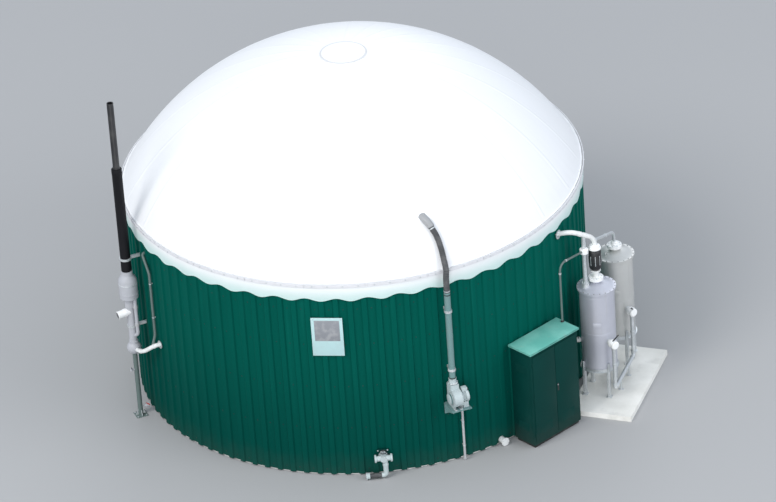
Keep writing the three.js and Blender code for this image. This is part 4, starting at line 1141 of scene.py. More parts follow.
def louvres(piece, at, across, out, width, count):
    """Slanted hoods over ventilation slots."""
    half = across * (width / 2)
    rise = UP * 0.02
    for i in range(count):
        base = Vector(at) + UP * (LOUVRE_PITCH * i)
        points = [base - half, base + half, base + half + rise, base - half + rise,
                  base - half * 0.97 + out * 0.011, base + half * 0.97 + out * 0.011]
        piece.faces(points, LOUVRE_FACES, PAINT)


body = Piece("cabinet_shell", CABINET)
body.block((BODY_DEPTH, BODY_WIDTH, BODY_HEIGHT), BODY, PAINT, edge=0.008)
body.block((BODY_DEPTH - 0.06, BODY_WIDTH - 0.06, PLINTH + 0.02), (BODY.x, BODY.y, (PLINTH + 0.02) / 2),
           RUBBER, edge=0.004)
for side in (-1, 1):
    out = Vector((0, side, 0))
    flank = Vector((BODY.x, BODY.y, 0)) + out * (BODY_WIDTH / 2)
    body.block((BODY_DEPTH - 0.1, 0.004, BODY_HEIGHT - 0.16), flank + out * 0.0015 + UP * BODY.z, PAINT,
               edge=0.0015)
    for z in (0.32, 1.52):
        louvres(body, flank + out * 0.0035 + UP * z, Vector((-side, 0, 0)), out, 0.26, 5)
body.done("green_sheet", "cabinet_body")

# %% The cabinet's doors and roof
LEAF_HEIGHT, LEAF_WIDTH = BODY_HEIGHT - 0.12, (BODY_WIDTH - 0.07) / 2 - 0.003
HINGE_HALF = 0.045
doors = Piece("cabinet_doors", CABINET)
for side in (-1, 1):
    leaf_y = BODY.y + side * (LEAF_WIDTH / 2 + 0.003)
    hinge = Vector((FRONT + 0.01, BODY.y + side * (LEAF_WIDTH + 0.01), 0))
    doors.block((0.0135, LEAF_WIDTH, LEAF_HEIGHT), (FRONT + 0.0073, leaf_y, BODY.z), PAINT, edge=0.004)
    louvres(doors, (FRONT + 0.0135, leaf_y, 0.26), Vector((0, 1, 0)), Vector((0.4, 0, 0)), 0.3, 6)
    for z in (0.28, BODY.z, PLINTH + BODY_HEIGHT - 0.22):
        doors.pole(hinge, z - HINGE_HALF, z + HINGE_HALF, 0.0075, PAINT, 12)
handle_y = BODY.y + 0.045
doors.block((0.004, 0.036, 0.15), (FRONT + 0.015, handle_y, 1.02), BLACK, edge=0.0015)
doors.rod((FRONT + 0.014, handle_y, 1.065), (FRONT + 0.0185, handle_y, 1.065), 0.012, ZINC, 16)
doors.done("green_sheet", "cabinet_door")

ROOF_DEPTH, ROOF_WIDTH, RIM = 0.56, 1.24, 0.003
ROOF_LOW, ROOF_TOP = (corner.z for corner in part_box("cabinet_roof"))
roof_at = Vector((BODY.x, CABINET_SHIFT, 0))
rim_at = roof_at + UP * ((ROOF_TOP + ROOF_LOW) / 2)
rim_height = ROOF_TOP - ROOF_LOW - 0.004
roof = Piece("cabinet_canopy", CABINET)
roof.block((ROOF_DEPTH, ROOF_WIDTH, 0.026), roof_at + UP * (ROOF_TOP - 0.013), FINISH["pale"], edge=0.006)
for side in (1, -1):
    x_rim = Vector((side * (ROOF_DEPTH - RIM) / 2, 0, 0))
    y_rim = Vector((0, side * (ROOF_WIDTH - RIM) / 2, 0))
    roof.block((RIM, ROOF_WIDTH, rim_height), rim_at + x_rim, FINISH["pale"], edge=0.001)
    roof.block((ROOF_DEPTH, RIM, rim_height), rim_at + y_rim, FINISH["pale"], edge=0.001)
roof.block((BODY_DEPTH, BODY_WIDTH, 0.008), roof_at + UP * (ROOF_LOW + 0.006), PAINT, edge=0.001)
roof.done("pale_green_sheet", "cabinet_roof")

# %% [markdown]
# When the dome holds too much gas, the relief valve lets it out before the cloth can tear. Gas comes
# from the wall to a ball shaped chamber, pushes up through the liquid seal in the pot above it, and
# leaves by the tall black stack. The small pipe beside the tube brings the liquid back down.

# %% The relief valve's post
STACK_AZIMUTH, STACK_REACH = -161, 4.44
STACK = station(STACK_AZIMUTH)
BALL_Z, BALL_RADIUS = 1.44, 0.13
POT_BOTTOM, POT_TOP = 2.3, 3.05
UPPER_TAP, LOWER_TAP = 0.98, 0.16
OUTWARDS = Vector((1, 0, 0))
RELIEF_PAINT = FINISH["relief"]


def on_stack(z, out=0.0, along=0.0):
    return Vector((STACK_REACH + out, along, z))


post = Piece("relief_stand", STACK)
post.block((0.22, 0.22, 0.013), on_stack(0.0065), THIN_LINE)
for x, y in corners(0.082, 0.082):
    post.bolt(on_stack(0.013, x, y), UP, 0.012)
post.pole(on_stack(0), 0.012, BALL_Z - BALL_RADIUS + 0.006, 0.044, THIN_LINE, 28)
for azimuth in (0, 90, 180, 270):
    way = polar(1, azimuth)
    side = way.cross(UP) * 0.003
    foot = on_stack(0.013)
    gusset = [foot + way * 0.04, foot + way * 0.1, foot + way * 0.04 + UP * 0.11]
    post.faces([corner - side for corner in gusset] + [corner + side for corner in gusset],
               [[0, 1, 2], [5, 4, 3], [0, 3, 4, 1], [1, 4, 5, 2], [2, 5, 3, 0]], ZINC)
post.rod(on_stack(UPPER_TAP), on_stack(UPPER_TAP, 0.08), 0.016, RELIEF_PAINT, 16)
post.pole(on_stack(UPPER_TAP, 0.092), -0.025, 0.025, 0.026, RELIEF_PAINT, 18)
post.lever(on_stack(UPPER_TAP + 0.023, 0.092), (0.2, 1, 0.1), 0.085, BLACK, 0.014, 0.014)
post.rod(on_stack(LOWER_TAP), on_stack(LOWER_TAP, -0.185), 0.019, ZINC, 16)
post.rod(on_stack(LOWER_TAP, -0.1), on_stack(LOWER_TAP, -0.165), 0.033, RELIEF_PAINT, 18)
post.lever(on_stack(LOWER_TAP + 0.028, -0.13), (-0.3, 1, 0.05), 0.115, FINISH["red"], 0.02, 0.018)
post.turned([(0.019, 0), (0.025, 0.002), (0.025, 0.02), (0, 0.02)], RELIEF_PAINT,
            on_stack(LOWER_TAP, -0.17), -OUTWARDS, 18)
post.done("galvanised", "relief_post")

# %% The relief valve's chamber and pot
BALL_ROWS = 22
SIPHON_OUT, SIPHON_ALONG, SIPHON_RADIUS = -0.06, 0.12, 0.034
SPOUT_RADIUS, SPOUT_COLLAR = 0.069, 0.0745
ball = [(math.sin(math.pi * i / BALL_ROWS) * BALL_RADIUS, -math.cos(math.pi * i / BALL_ROWS) * BALL_RADIUS)
        for i in range(BALL_ROWS + 1)]
tube_top = POT_BOTTOM - BALL_Z
tee = Piece("relief_chamber", STACK)
tee.turned(ball, RELIEF_PAINT, on_stack(BALL_Z), sides=44)
tee.collar(BALL_RADIUS - 0.002, BALL_RADIUS + 0.003, 0.02, 0.001, RELIEF_PAINT, on_stack(BALL_Z), sides=44)
tee.turned([(0, 0.08), (0.084, 0.09), (0.084, 0.15), (0.0715, 0.156), (0.0715, tube_top - 0.055),
            (0.078, tube_top - 0.05), (0.078, tube_top - 0.006), (0, tube_top - 0.006)], RELIEF_PAINT,
           on_stack(BALL_Z))
siphon_line = bent([on_stack(POT_BOTTOM + 0.215, SIPHON_OUT, SIPHON_ALONG),
                    on_stack(BALL_Z + 0.31, SIPHON_OUT, SIPHON_ALONG), on_stack(BALL_Z + 0.25)], 0.06)
tee.swept(siphon_line, SIPHON_RADIUS, RELIEF_PAINT, 18)
for z in (BALL_Z + 0.52, POT_BOTTOM + 0.03):
    tee.collar(SIPHON_RADIUS, 0.041, 0.06, 0.003, GREY, on_stack(z, SIPHON_OUT, SIPHON_ALONG))
spout_end = on_stack(POT_BOTTOM - 0.13, 0.25)
spout_way = Vector((0.25, 0, -0.04)).normalized()
tee.rod(on_stack(POT_BOTTOM - 0.09), spout_end, 0.07, WHITE_PAINTED_LIGHT, 32)
tee.turned([(SPOUT_RADIUS, 0), (SPOUT_COLLAR, 0.002), (SPOUT_COLLAR, 0.05), (SPOUT_RADIUS, 0.055)], WHITE_PAINTED_LIGHT,
           on_stack(POT_BOTTOM - 0.104, 0.085), spout_way, 32)
tee.band(SPOUT_RADIUS, SPOUT_COLLAR, 0.022, 0.002, WHITE_PAINTED_LIGHT, spout_end, spout_way, 32, -0.022)
tee.turned([(0, 0.0005), (0.062, 0.001), (0.06, 0.0015), (0, 0.0015)], BLACK, spout_end, spout_way, 32)
tee.done("white_plastic", "relief_tee")

POT_HEIGHT, POT_RADIUS = POT_TOP - POT_BOTTOM, 0.171
pot = Piece("seal_pot", STACK)
pot.turned([(0, 0.0005), (0.094, 0.002), (0.094, 0.165), (0.15, 0.178), (POT_RADIUS, 0.2),
            (POT_RADIUS, 0.275), (0.1745, 0.28), (0.1745, 0.305), (POT_RADIUS, 0.31),
            (POT_RADIUS, POT_HEIGHT - 0.195), (0.15, POT_HEIGHT - 0.145), (0.112, POT_HEIGHT - 0.098),
            (0.1045, POT_HEIGHT - 0.08), (0.1045, POT_HEIGHT - 0.028), (0.1, POT_HEIGHT - 0.026),
            (0.1, POT_HEIGHT - 0.001), (0, POT_HEIGHT - 0.001)], RELIEF_PAINT, on_stack(POT_BOTTOM),
           sides=56)
pot.band(POT_RADIUS, 0.1738, 0.02, 0.003, ZINC, on_stack(POT_TOP - 0.27), sides=56)
pot.rod(on_stack(POT_BOTTOM + 0.42, 0.15), on_stack(POT_BOTTOM + 0.42, 0.174), 0.018, GREY, 16)
pot.done("white_plastic", "relief_pot")

# %% The relief valve's inlet and pressure line
INLET_AZIMUTH, INLET_Z, INLET_RADIUS = -153.1, 1.705, 0.038
KNEE_AZIMUTH = INLET_AZIMUTH - 1.1
KNEE = polar(SHEET_CREST + 0.12, KNEE_AZIMUTH, INLET_Z - 0.05)
INTO_WALL = SHEET_TROUGH - 0.004
inlet_line = flowing([
    polar(STACK_REACH, STACK_AZIMUTH, BALL_Z),
    polar(STACK_REACH - 0.022, STACK_AZIMUTH + 2.4, BALL_Z + 0.012),
    polar(STACK_REACH - 0.052, STACK_AZIMUTH + 4.8, BALL_Z + 0.09),
    KNEE,
    polar(SHEET_CREST + 0.075, INLET_AZIMUTH - 0.2, INLET_Z),
    polar(INTO_WALL, INLET_AZIMUTH, INLET_Z),
], 12)
inlet = Piece("inlet_bend")
inlet.swept(inlet_line, 0.0385, WHITE, 20)
for spot in (16, 42):
    way = (inlet_line[spot + 1] - inlet_line[spot - 1]).normalized()
    inlet.collar(INLET_RADIUS, 0.0435, 0.044, 0.004, WHITE, inlet_line[spot], way)
inlet.band(INLET_RADIUS, 0.075, 0.008, 0, ZINC, polar(SHEET_CREST + 0.001, INLET_AZIMUTH, INLET_Z),
           polar(1, INLET_AZIMUTH), 40)
inlet.done("white_plastic", "relief_inlet")

LINE_REACH, LINE_RADIUS = SHEET_CREST + 0.042, 0.0245
line_back = LINE_REACH - 0.024
pressure = Piece("pressure_pipe")
pressure_line = bent([
    polar(INTO_WALL, -157.5, 3.46),
    polar(LINE_REACH, -157.5, 3.455),
    polar(LINE_REACH, KNEE_AZIMUTH, 3.15),
    polar(LINE_REACH, KNEE_AZIMUTH, KNEE.z + 0.23),
    KNEE,
], 0.05)
pressure.swept(pressure_line, LINE_RADIUS, THIN_LINE, 16)
for z in (2.95, 2.25):
    turn = station(KNEE_AZIMUTH) @ Matrix.Translation(((line_back + SHEET_CREST) / 2, 0, z))
    pressure.collar(LINE_RADIUS, 0.0262, 0.02, 0.001, ZINC, polar(LINE_REACH, KNEE_AZIMUTH, z), sides=20)
    pressure.block((line_back - SHEET_CREST, 0.03, 0.016), (0, 0, 0), ZINC, turn)
pressure.done("white_plastic", "pressure_line")

# %% [markdown]
# The stack is black polyethylene pipe: a wide lower length, and a slimmer one set in its top. Welded
# collars mark the joints. Two brackets tie it to the wall.

# %% The vent stack
STACK_STEP, STACK_TOP = 5.14, 6.46
LOWER, UPPER = STACK_STEP - POT_TOP, STACK_TOP - STACK_STEP
lower = Piece("stack_lower_pipe", STACK)
lower.turned([(0, HAIR), (0.095, 0.001), (0.095, 0.11), (0.0925, 0.116), (0.0925, LOWER - 0.115),
              (0.095, LOWER - 0.11), (0.095, LOWER - 0.012), (0.088, LOWER), (0, LOWER)], FINISH["tar"],
             on_stack(POT_TOP), sides=48)
lower.done("black_pipe", "vent_stack_lower")
upper = Piece("stack_upper_pipe", STACK)
upper.turned([(0, HAIR), (0.063, 0.001), (0.063, 0.055), (0.0605, 0.06), (0.0605, UPPER - 0.002),
              (0.0595, UPPER), (0.052, UPPER), (0.052, UPPER - 0.1), (0, UPPER - 0.1)], BLACK,
             on_stack(STACK_STEP), sides=40)
upper.done("black_pipe", "vent_stack_upper")
for bracket in (1, 2):
    keep(f"stack_bracket_{bracket}", ZINC)

# %% [markdown]
# Raw gas carries sulphur, so it passes two steel vessels filled with carbon on its way out. They stand
# side by side on their own concrete pad. Each has a dished bottom, a bolted lid with lifting eyes, a
# capped neck, and four square legs tied by a band. The lid's flange is what makes them look like
# pressure vessels, so it gets its full ring of bolts.

# %% The filter vessels
PAD_AZIMUTH, PAD_HEIGHT = -22.3, 0.1
YARD = station(PAD_AZIMUTH)
FILTERS = (Vector((4.66, -0.375, 0)), Vector((4.66, 0.8, 0)))
SIDE, FLANGE, CAP_RADIUS = 0.32, 0.355, 0.135
FILTER_BOTTOM, FILTER_TOP, FILTER_CAP = 0.62, 2.25, 2.45
LID_BOLTS, BOLT_CIRCLE, ROUND = 20, FLANGE - 0.016, 72
keep("filter_pad", FINISH["pad"])


def vessel(index, at, steel):
    piece = Piece(f"vessel_{index}", YARD)
    lid = at + UP * FILTER_TOP
    shell = FILTER_TOP - FILTER_BOTTOM
    neck = FILTER_CAP - FILTER_TOP - 0.03
    piece.turned([(0, -0.089), (0.09, -0.08), (0.17, -0.056), (0.26, -0.02), (SIDE - 0.012, 0.005),
                  (SIDE - 0.0015, 0.03), (SIDE - 0.0015, shell), (0, shell)], steel,
                 at + UP * FILTER_BOTTOM, sides=ROUND)
    for z in (FILTER_BOTTOM + 0.035, FILTER_BOTTOM + 0.8, FILTER_TOP - 0.085):
        piece.collar(SIDE - 0.002, SIDE, 0.01, 0.002, steel, at + UP * z, sides=ROUND)
    piece.turned([(0, 0), (FLANGE - 0.001, 0), (FLANGE, 0.001), (FLANGE, 0.017), (FLANGE - 0.001, 0.018),
                  (0, 0.018)], steel, lid, sides=ROUND)
    piece.turned([(0, 0.018), (FLANGE - 0.006, 0.018), (FLANGE - 0.006, 0.0215), (0, 0.0215)], RUBBER, lid,
                 sides=ROUND)
    piece.turned([(0, 0.0215), (FLANGE, 0.0215), (FLANGE, 0.0385), (SIDE - 0.01, 0.04), (0.26, 0.07),
                  (0.18, 0.098), (0.11, 0.118), (0.074, 0.124), (0.074, neck), (0, neck)], steel, lid,
                 sides=ROUND)
    piece.turned([(0, -0.031), (CAP_RADIUS, -0.03), (CAP_RADIUS, -0.0005), (0, -0.0005)], WHITE_PAINTED_LIGHT,
                 at + UP * FILTER_CAP, sides=ROUND)
    piece.bolt_ring(lid + UP * 0.0385, UP, BOLT_CIRCLE, LID_BOLTS, 0.009, FINISH["bolt"])
    piece.bolt_ring(lid, -UP, BOLT_CIRCLE, LID_BOLTS, 0.009)
    for azimuth in (60, 240):
        way = polar(1, azimuth)
        centre = lid + way * 0.215 + UP * 0.098
        ring = [centre + way * x + UP * y for x, y in circle(0.026, 16)]
        piece.swept([*ring, ring[0]], 0.006, steel, 8)
    label = station(-75)
    piece.block((0.004, 0.15, 0.1), at + label @ Vector((SIDE + 0.001, 0, 1.62)), steel, label, 0.001)
    piece.done("stainless", f"filter_{index}_vessel")


# %% The vessels' legs
LEG, LEG_TOP = 0.06, 0.8
BAND_LOW, BAND_HEIGHT = 0.64, 0.06


def legs(index, at):
    piece = Piece(f"vessel_stand_{index}", YARD)
    for azimuth in (45, 135, 225, 315):
        foot = at + polar(SIDE, azimuth)
        strap = foot + polar(0.016, azimuth)
        piece.block((LEG, LEG, BAND_LOW - PAD_HEIGHT), foot + UP * ((BAND_LOW + PAD_HEIGHT) / 2), ZINC,
                    edge=0.006)
        piece.block((0.035, 0.05, LEG_TOP - BAND_LOW + 0.01), strap + UP * ((LEG_TOP + BAND_LOW) / 2), ZINC,
                    station(azimuth), 0.005)
        piece.block((0.1, 0.1, 0.011), foot + UP * (PAD_HEIGHT + 0.0058), ZINC, edge=0.002)
        for x in (-0.039, 0.039):
            piece.bolt(foot + Vector((x, -x, PAD_HEIGHT + 0.011)), UP, 0.008)
    piece.turned([(SIDE + 0.001, 0), (SIDE + 0.03, 0), (SIDE + 0.03, 0.006), (SIDE + 0.007, 0.006),
                  (SIDE + 0.007, BAND_HEIGHT), (SIDE + 0.001, BAND_HEIGHT)], ZINC, at + UP * BAND_LOW,
                 sides=64)
    piece.done("galvanised", f"filter_{index}_legs")


for index, at in enumerate(FILTERS, 1):
    vessel(index, at, FINISH[f"steel_{index}"])
    legs(index, at)

# %% [markdown]
# Each vessel drains through a ball valve and a drop pipe, and a link along the pad joins the two drop
# pipes. White unions let them be taken apart. The dark levers stand up and outwards, as they do when
# a valve is open.

# %% The drop valves
VALVE_ANGLE, VALVE_REACH, VALVE_Z, VALVE_BODY = -37, 0.45, 1.25, 0.074
VALVE_COLLAR = VALVE_BODY - 0.004
LINK_Z, LINK_RADIUS, ELBOW = 0.33, 0.036, 0.09
VALVE_AT = polar(VALVE_REACH, VALVE_ANGLE)


def drop_valve(index, at, towards):
    piece = Piece(f"drop_valve_{index}", YARD)
    way = polar(1, VALVE_ANGLE)
    start = at + way * (SIDE + 0.0015) + UP * VALVE_Z
    valve_at = at + VALVE_AT + UP * VALVE_Z
    low = at + VALVE_AT + UP * LINK_Z
    piece.rod(start, valve_at, 0.04, WHITE)
    piece.rod(start, start + way * 0.01, 0.058, ZINC, 28)
    piece.rod(valve_at - way * 0.055, valve_at + way * 0.076, VALVE_BODY, WHITE_PAINTED_LIGHT, 32, 0.012)
    piece.turned([(0, 0), (0.062, 0), (VALVE_BODY, 0.012), (VALVE_BODY, 0.044), (0.056, 0.064), (0, 0.074)],
                 WHITE_PAINTED_LIGHT, valve_at, sides=32)
    for step in (-0.058, 0.04):
        piece.band(VALVE_COLLAR, 0.0795, 0.022, 0.002, WHITE, valve_at + way * step, way, 32)
    piece.lever(valve_at + UP * 0.07, (0.4, towards * 0.9, 0.35), 0.17, BLACK, 0.026, 0.008)
    piece.swept(bent([valve_at, low, low + Vector((0, ELBOW * towards, 0))], 0.055), LINK_RADIUS, ZINC, 20)
    for z in (VALVE_Z - 0.085, VALVE_Z - 0.42, LINK_Z + 0.075):
        piece.collar(LINK_RADIUS, 0.044, 0.048, 0.004, ZINC, at + VALVE_AT + UP * z)
    piece.turned([(LINK_RADIUS, 0), (0.046, 0.003), (0.046, 0.028), (LINK_RADIUS, 0.03)], ZINC,
                 low + Vector((0, (ELBOW - 0.031) * towards, 0)), (0, towards, 0), 24)
    piece.done("white_plastic", f"filter_{index}_valve")


first, second = FILTERS
drop_valve(1, first, 1)
drop_valve(2, second, -1)

# %% The link and the tap
LINK_FOOT = LINK_Z - LINK_RADIUS - 0.002
link = Piece("link_pipe", YARD)
link_start = first + VALVE_AT + Vector((0, ELBOW + 0.0006, LINK_Z))
link_end = second + VALVE_AT + Vector((0, -ELBOW - 0.0006, LINK_Z))
link.rod(link_start, link_end, LINK_RADIUS, ZINC)
link.turned([(LINK_RADIUS, 0), (0.038, 0.001), (0.038, 0.05), (LINK_RADIUS, 0.052)], ZINC,
            (link_start + link_end) / 2, link_end - link_start, 24)
for share in (0.25, 0.75):
    x, y = link_start.lerp(link_end, share).xy
    link.block((0.034, 0.026, LINK_FOOT - PAD_HEIGHT + 0.002), (x, y, (LINK_FOOT + PAD_HEIGHT) / 2 + 0.001),
               ZINC)
    link.block((0.09, 0.06, 0.006), (x, y, PAD_HEIGHT + 0.003), ZINC)
link.done("galvanised", "filter_link_pipe")

TAP_AT = first + UP * 1.18
TAP_WAY = polar(1, 180 - PAD_AZIMUTH)


def on_tap(out, rise=0.0):
    return TAP_AT + TAP_WAY * (SIDE + out) + UP * rise


tap = Piece("sample_tap", YARD)
tap.rod(on_tap(0.0015), on_tap(0.098), 0.026, WHITE)
tap.rod(on_tap(0.01), on_tap(0.08), 0.044, WHITE, 24)
tap.rod(on_tap(0.045), on_tap(0.045, 0.052), 0.02, WHITE, 18)
tap.lever(on_tap(0.045, 0.046), (0.2, -1, 0), 0.06, BLACK, 0.014, 0.004)
tap.done("white_plastic", "filter_1_tap")

# %% [markdown]
# Above the first vessel the gas passes a flame arrester: a short, thick, dark housing between two
# flanges. The gas pipe comes to it from the wall, and a branch drops from that pipe on to the lid. A
# thin bypass leads on to the second vessel's cap, and a sample pipe joins the branch to the cabinet,
# where the gas is measured.

# %% The flame arrester
ARRESTER_Z, ARRESTER_TOP = 2.62, 3.05
HOUSING, HOUSING_RADIUS = ARRESTER_TOP - ARRESTER_Z, 0.115
UNDERSIDE = ARRESTER_Z - 0.024


def cap_flange(piece, at):
    """The bolted plate on a vessel's cap."""
    piece.pole(at, FILTER_CAP + HAIR, FILTER_CAP + 0.026, CAP_RADIUS - 0.0005, WHITE_PAINTED_LIGHT, 48)
    piece.bolt_ring(at + UP * (FILTER_CAP + 0.026), UP, 0.112, 8, 0.009)


neck = Piece("arrester_neck", YARD)
cap_flange(neck, first)
neck.pole(first, FILTER_CAP + 0.02, ARRESTER_Z - 0.01, 0.054, WHITE, 32)
neck.pole(first, UNDERSIDE, ARRESTER_Z, 0.0945, WHITE, 40)
neck.bolt_ring(first + UP * UNDERSIDE, -UP, 0.074, 8, 0.008)
neck.done("white_plastic", "filter_riser")

arrester = Piece("arrester_housing", YARD)
end = [(0.08, 0.012), (HOUSING_RADIUS - 0.01, 0.042), (HOUSING_RADIUS - 0.004, 0.055),
       (HOUSING_RADIUS - 0.004, 0.145), (HOUSING_RADIUS, 0.148)]
other_end = [(radius, HOUSING - height) for radius, height in reversed(end)]
arrester.turned([(0, HAIR), (0.07, 0.0005), *end, *other_end, (0.07, HOUSING), (0, HOUSING)], BLACK,
                first + UP * ARRESTER_Z, sides=48)
for i in range(8):
    tie_at = first + polar(HOUSING_RADIUS - 0.003, 45 * i + 20)
    arrester.pole(tie_at, ARRESTER_Z + 0.12, ARRESTER_TOP - 0.12, 0.006, ZINC, 10)
arrester.done("black_pipe", "flame_arrester")

# %% The gas pipe
GAS_AZIMUTH, GAS_WALL_Z, GAS_TOP, GAS_COLLAR = -32.4, 3.47, 3.27, 0.043
UNION_HEIGHT = 0.085
first_ground, second_ground = YARD @ first, YARD @ second
gas_out = polar(SHEET_CREST + 0.23, GAS_AZIMUTH + 1, GAS_WALL_Z + 0.06)
gas_top = first_ground + UP * GAS_TOP
gas_line = bent([polar(INTO_WALL, GAS_AZIMUTH, GAS_WALL_Z), gas_out, gas_top,
                 first_ground + UP * (ARRESTER_TOP + HAIR)], 0.13, 10)
gas = Piece("gas_line")
gas.swept(gas_line, GAS_COLLAR + 0.0005, WHITE, 24)
gas.pole(first_ground, ARRESTER_TOP + HAIR, ARRESTER_TOP + 0.028, HOUSING_RADIUS - 0.0005, WHITE_PAINTED_LIGHT, 48)
gas.turned([(0.044, 0.026), (0.094, 0.028), (0.099, 0.034), (0.099, 0.064), (0.092, 0.07), (0.066, 0.074),
            (0.062, UNION_HEIGHT), (0.044, UNION_HEIGHT)], WHITE_PAINTED_LIGHT, first_ground + UP * ARRESTER_TOP, sides=12)
gas.band(GAS_COLLAR, 0.085, 0.009, 0, ZINC, polar(SHEET_CREST + 0.001, GAS_AZIMUTH, GAS_WALL_Z),
         polar(1, GAS_AZIMUTH), 32)
for share in (0.22, 0.62):
    gas.collar(GAS_COLLAR, 0.0485, 0.06, 0.004, WHITE, gas_line[11].lerp(gas_line[12], share),
               gas_line[12] - gas_line[11])
gas.done("white_plastic", "gas_pipe")

# %% The branch pipe
DROP_SHARE, DROP_RADIUS, DROP_TUBE = 0.52, 0.0405, 0.047
COLLAR_TOP, HEAD_Z, HEAD_RADIUS = 2.419, 3.065, 0.0795
drop_at = gas_out.lerp(gas_top, DROP_SHARE)
drop_ground = Vector((drop_at.x, drop_at.y, 0))
drop_head = drop_ground + UP * HEAD_Z
drop_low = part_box("gas_drop_pipe")[0][2] + HAIR
half = [(HEAD_RADIUS, 0.038), (HEAD_RADIUS - 0.006, 0.0445), (DROP_TUBE, 0.0445), (DROP_TUBE, 0.058),
        (DROP_RADIUS, 0.062)]
drop = Piece("branch_pipe")
drop.pole(drop_ground, drop_low, drop_at.z - 0.02, DROP_RADIUS, ZINC, 32)
drop.pole(drop_ground, drop_low, COLLAR_TOP, 0.0685, ZINC, 40)
drop.turned([(radius, -height) for radius, height in reversed(half)] + half, WHITE_PAINTED_LIGHT, drop_head, sides=32)
drop.bolt_ring(drop_ground + UP * COLLAR_TOP, UP, 0.055, 6, 0.005)
for z in (HEAD_Z - 0.3, HEAD_Z + 0.16):
    drop.collar(DROP_RADIUS - 0.001, 0.0418, 0.028, 0.002, ZINC, drop_ground + UP * z, sides=28)
drop.done("white_plastic", "gas_drop_pipe")

# %% The bypass and the sample pipe
BYPASS_COLLAR = 0.028
bypass_line = bent([first_ground + UP * 3.22, second_ground + UP * 2.73,
                    second_ground + UP * (FILTER_CAP + 0.02)], 0.17)
bypass_way = (bypass_line[1] - bypass_line[0]).normalized()
bypass = Piece("bypass_pipe")
bypass.swept(bypass_line, BYPASS_COLLAR + 0.0005, ZINC, 18)
cap_flange(bypass, second_ground)
bypass.turned([(BYPASS_COLLAR, 0.026), (0.06, 0.028), (0.06, 0.075), (0.04, 0.09),
               (BYPASS_COLLAR, 0.09)], WHITE_PAINTED_LIGHT, second_ground + UP * FILTER_CAP, sides=24)
for distance in (0.075, 0.7):
    bypass.collar(BYPASS_COLLAR, 0.036, 0.048, 0.004, ZINC, bypass_line[0] + bypass_way * distance,
                  bypass_way, 20)
bypass.done("galvanised", "filter_bypass")

SAMPLE_RADIUS = 0.019
SAMPLE_START = CABINET @ Vector((4.376, CABINET_SHIFT + 0.58, 1.99))
sample_line = bent([SAMPLE_START + UP * HAIR, Vector((*SAMPLE_START.xy, 3.18)), drop_head], 0.2, 12)
sample = Piece("sample_line")
sample.swept(sample_line, SAMPLE_RADIUS, THIN_LINE, 16)
sample.turned([(SAMPLE_RADIUS, 0), (0.034, 0.001), (0.03, 0.022), (SAMPLE_RADIUS, 0.03)], RUBBER,
              SAMPLE_START, sides=24)
for spot in (1, -2):
    sample.collar(SAMPLE_RADIUS, 0.0235, 0.036, 0.003, GREY, sample_line[spot],
                  sample_line[spot + 1] - sample_line[spot], 20)
sample.done("white_plastic", "sample_pipe")

# %% [markdown]
# At the foot of the wall the tank has its drain: a plate bolted to the wall, a cross-piece with two
# capped arms and a small hand wheel above, and a leg that turns along the ground to a hose coupling.
# A second, capped stub stands near the cabinet.

# %% The drain and the foot stub
DRAIN_Z, DRAIN_OUT, DRAIN_ARM, DRAIN_CAP = 0.42, 0.15, 0.16, 0.035
COUPLING_Z, COUPLING_END, COUPLING_LENGTH = 0.075, 0.33, 0.07
WHEEL_RADIUS, WHEEL_STEPS = 0.062, 28
STUB_Z = 0.085


def off_wall(out, along=0.0, z=DRAIN_Z):
    return Vector((SHEET_CREST + out, along, z))


def coupling_wave(travelled):
    """The short hose's radius, ribbed like the air hose."""
    return 0.0425 + 0.0025 * math.cos(TURN * travelled / 0.022)


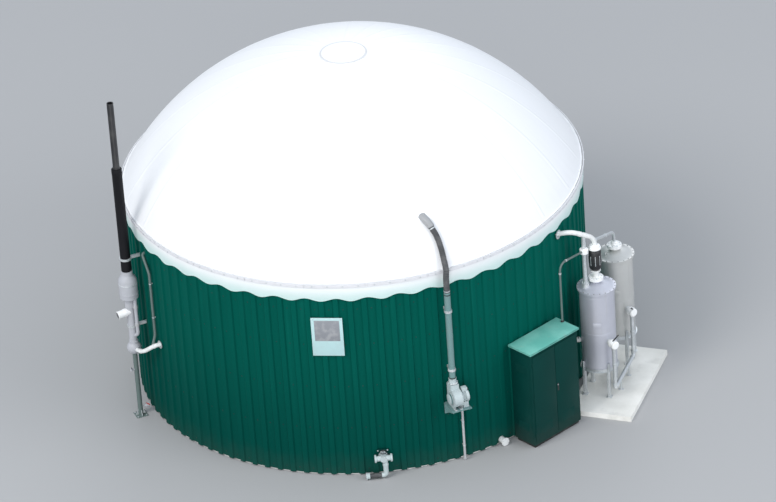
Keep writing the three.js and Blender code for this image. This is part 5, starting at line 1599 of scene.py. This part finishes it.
drain = Piece("drain_fittings", station(-89))
drain.block((0.03, 0.218, 0.218), off_wall(0.014), PAINT, edge=0.004)
for y, z in corners(0.086, 0.086):
    drain.bolt(off_wall(0.029, y, DRAIN_Z + z), OUTWARDS, 0.011)
drain.rod(off_wall(0.01), off_wall(DRAIN_OUT + 0.058), 0.06, MACHINE, 32)
drain.rod(off_wall(0.029), off_wall(0.041), 0.078, ZINC, 32)
drain.rod(off_wall(DRAIN_OUT, -DRAIN_ARM + 0.01), off_wall(DRAIN_OUT, DRAIN_ARM - 0.01), 0.05, MACHINE, 32)
for side in (-1, 1):
    drain.turned([(0.05, 0), (0.073, 0.002), (0.073, 0.03), (0.062, DRAIN_CAP), (0, DRAIN_CAP)], MACHINE,
                 off_wall(DRAIN_OUT, side * (DRAIN_ARM - DRAIN_CAP)), (0, side, 0), 12)
spindle = off_wall(DRAIN_OUT - 0.04)
drain.pole(spindle, 0.04, 0.104, 0.013, ZINC, 14)
hub = spindle + UP * 0.102
wheel = [hub + Vector((x, y, 0)) for x, y in circle(WHEEL_RADIUS, WHEEL_STEPS)]
drain.swept([*wheel, wheel[0]], 0.0065, BLACK, 10)
for spoke_end in wheel[::7]:
    drain.rod(hub, spoke_end, 0.0045, BLACK, 8)
drain.swept(bent([off_wall(DRAIN_OUT, 0.03), off_wall(DRAIN_OUT, 0.03, COUPLING_Z),
                  off_wall(DRAIN_OUT, -0.05, COUPLING_Z)], 0.06), 0.0455, MACHINE, 24)
hose_start = off_wall(DRAIN_OUT, -0.04, COUPLING_Z)
hose_stop = off_wall(DRAIN_OUT, COUPLING_LENGTH / 2 - COUPLING_END, COUPLING_Z)
drain.swept([hose_start.lerp(hose_stop, i / 60) for i in range(61)], coupling_wave, FINISH["hose"], 24)
drain.collar(0.044, 0.053, 0.04, 0.003, MACHINE, off_wall(DRAIN_OUT, 0.03, 0.29), sides=28)
drain.turned([(0.045, 0), (0.0615, 0.003), (0.0615, 0.022), (0.053, 0.026), (0.053, 0.044), (0.0615, 0.048),
              (0.0615, 0.068), (0, COUPLING_LENGTH)], MACHINE,
             off_wall(DRAIN_OUT, COUPLING_LENGTH - COUPLING_END, COUPLING_Z), (0, -1, 0), 28)
drain.done("galvanised", "drain_stub")

stub = Piece("stub_cap", station(-57.5))
stub.turned([(0, -0.03), (0.0595, -0.028), (0.0595, 0.094), (0.079, 0.094), (0.079, 0.109), (0, 0.11)],
            WHITE, off_wall(0, z=STUB_Z), OUTWARDS, 36)
stub.bolt_ring(off_wall(0.1095, z=STUB_Z), OUTWARDS, 0.068, 6, 0.007)
stub.done("white_plastic", "foot_stub")
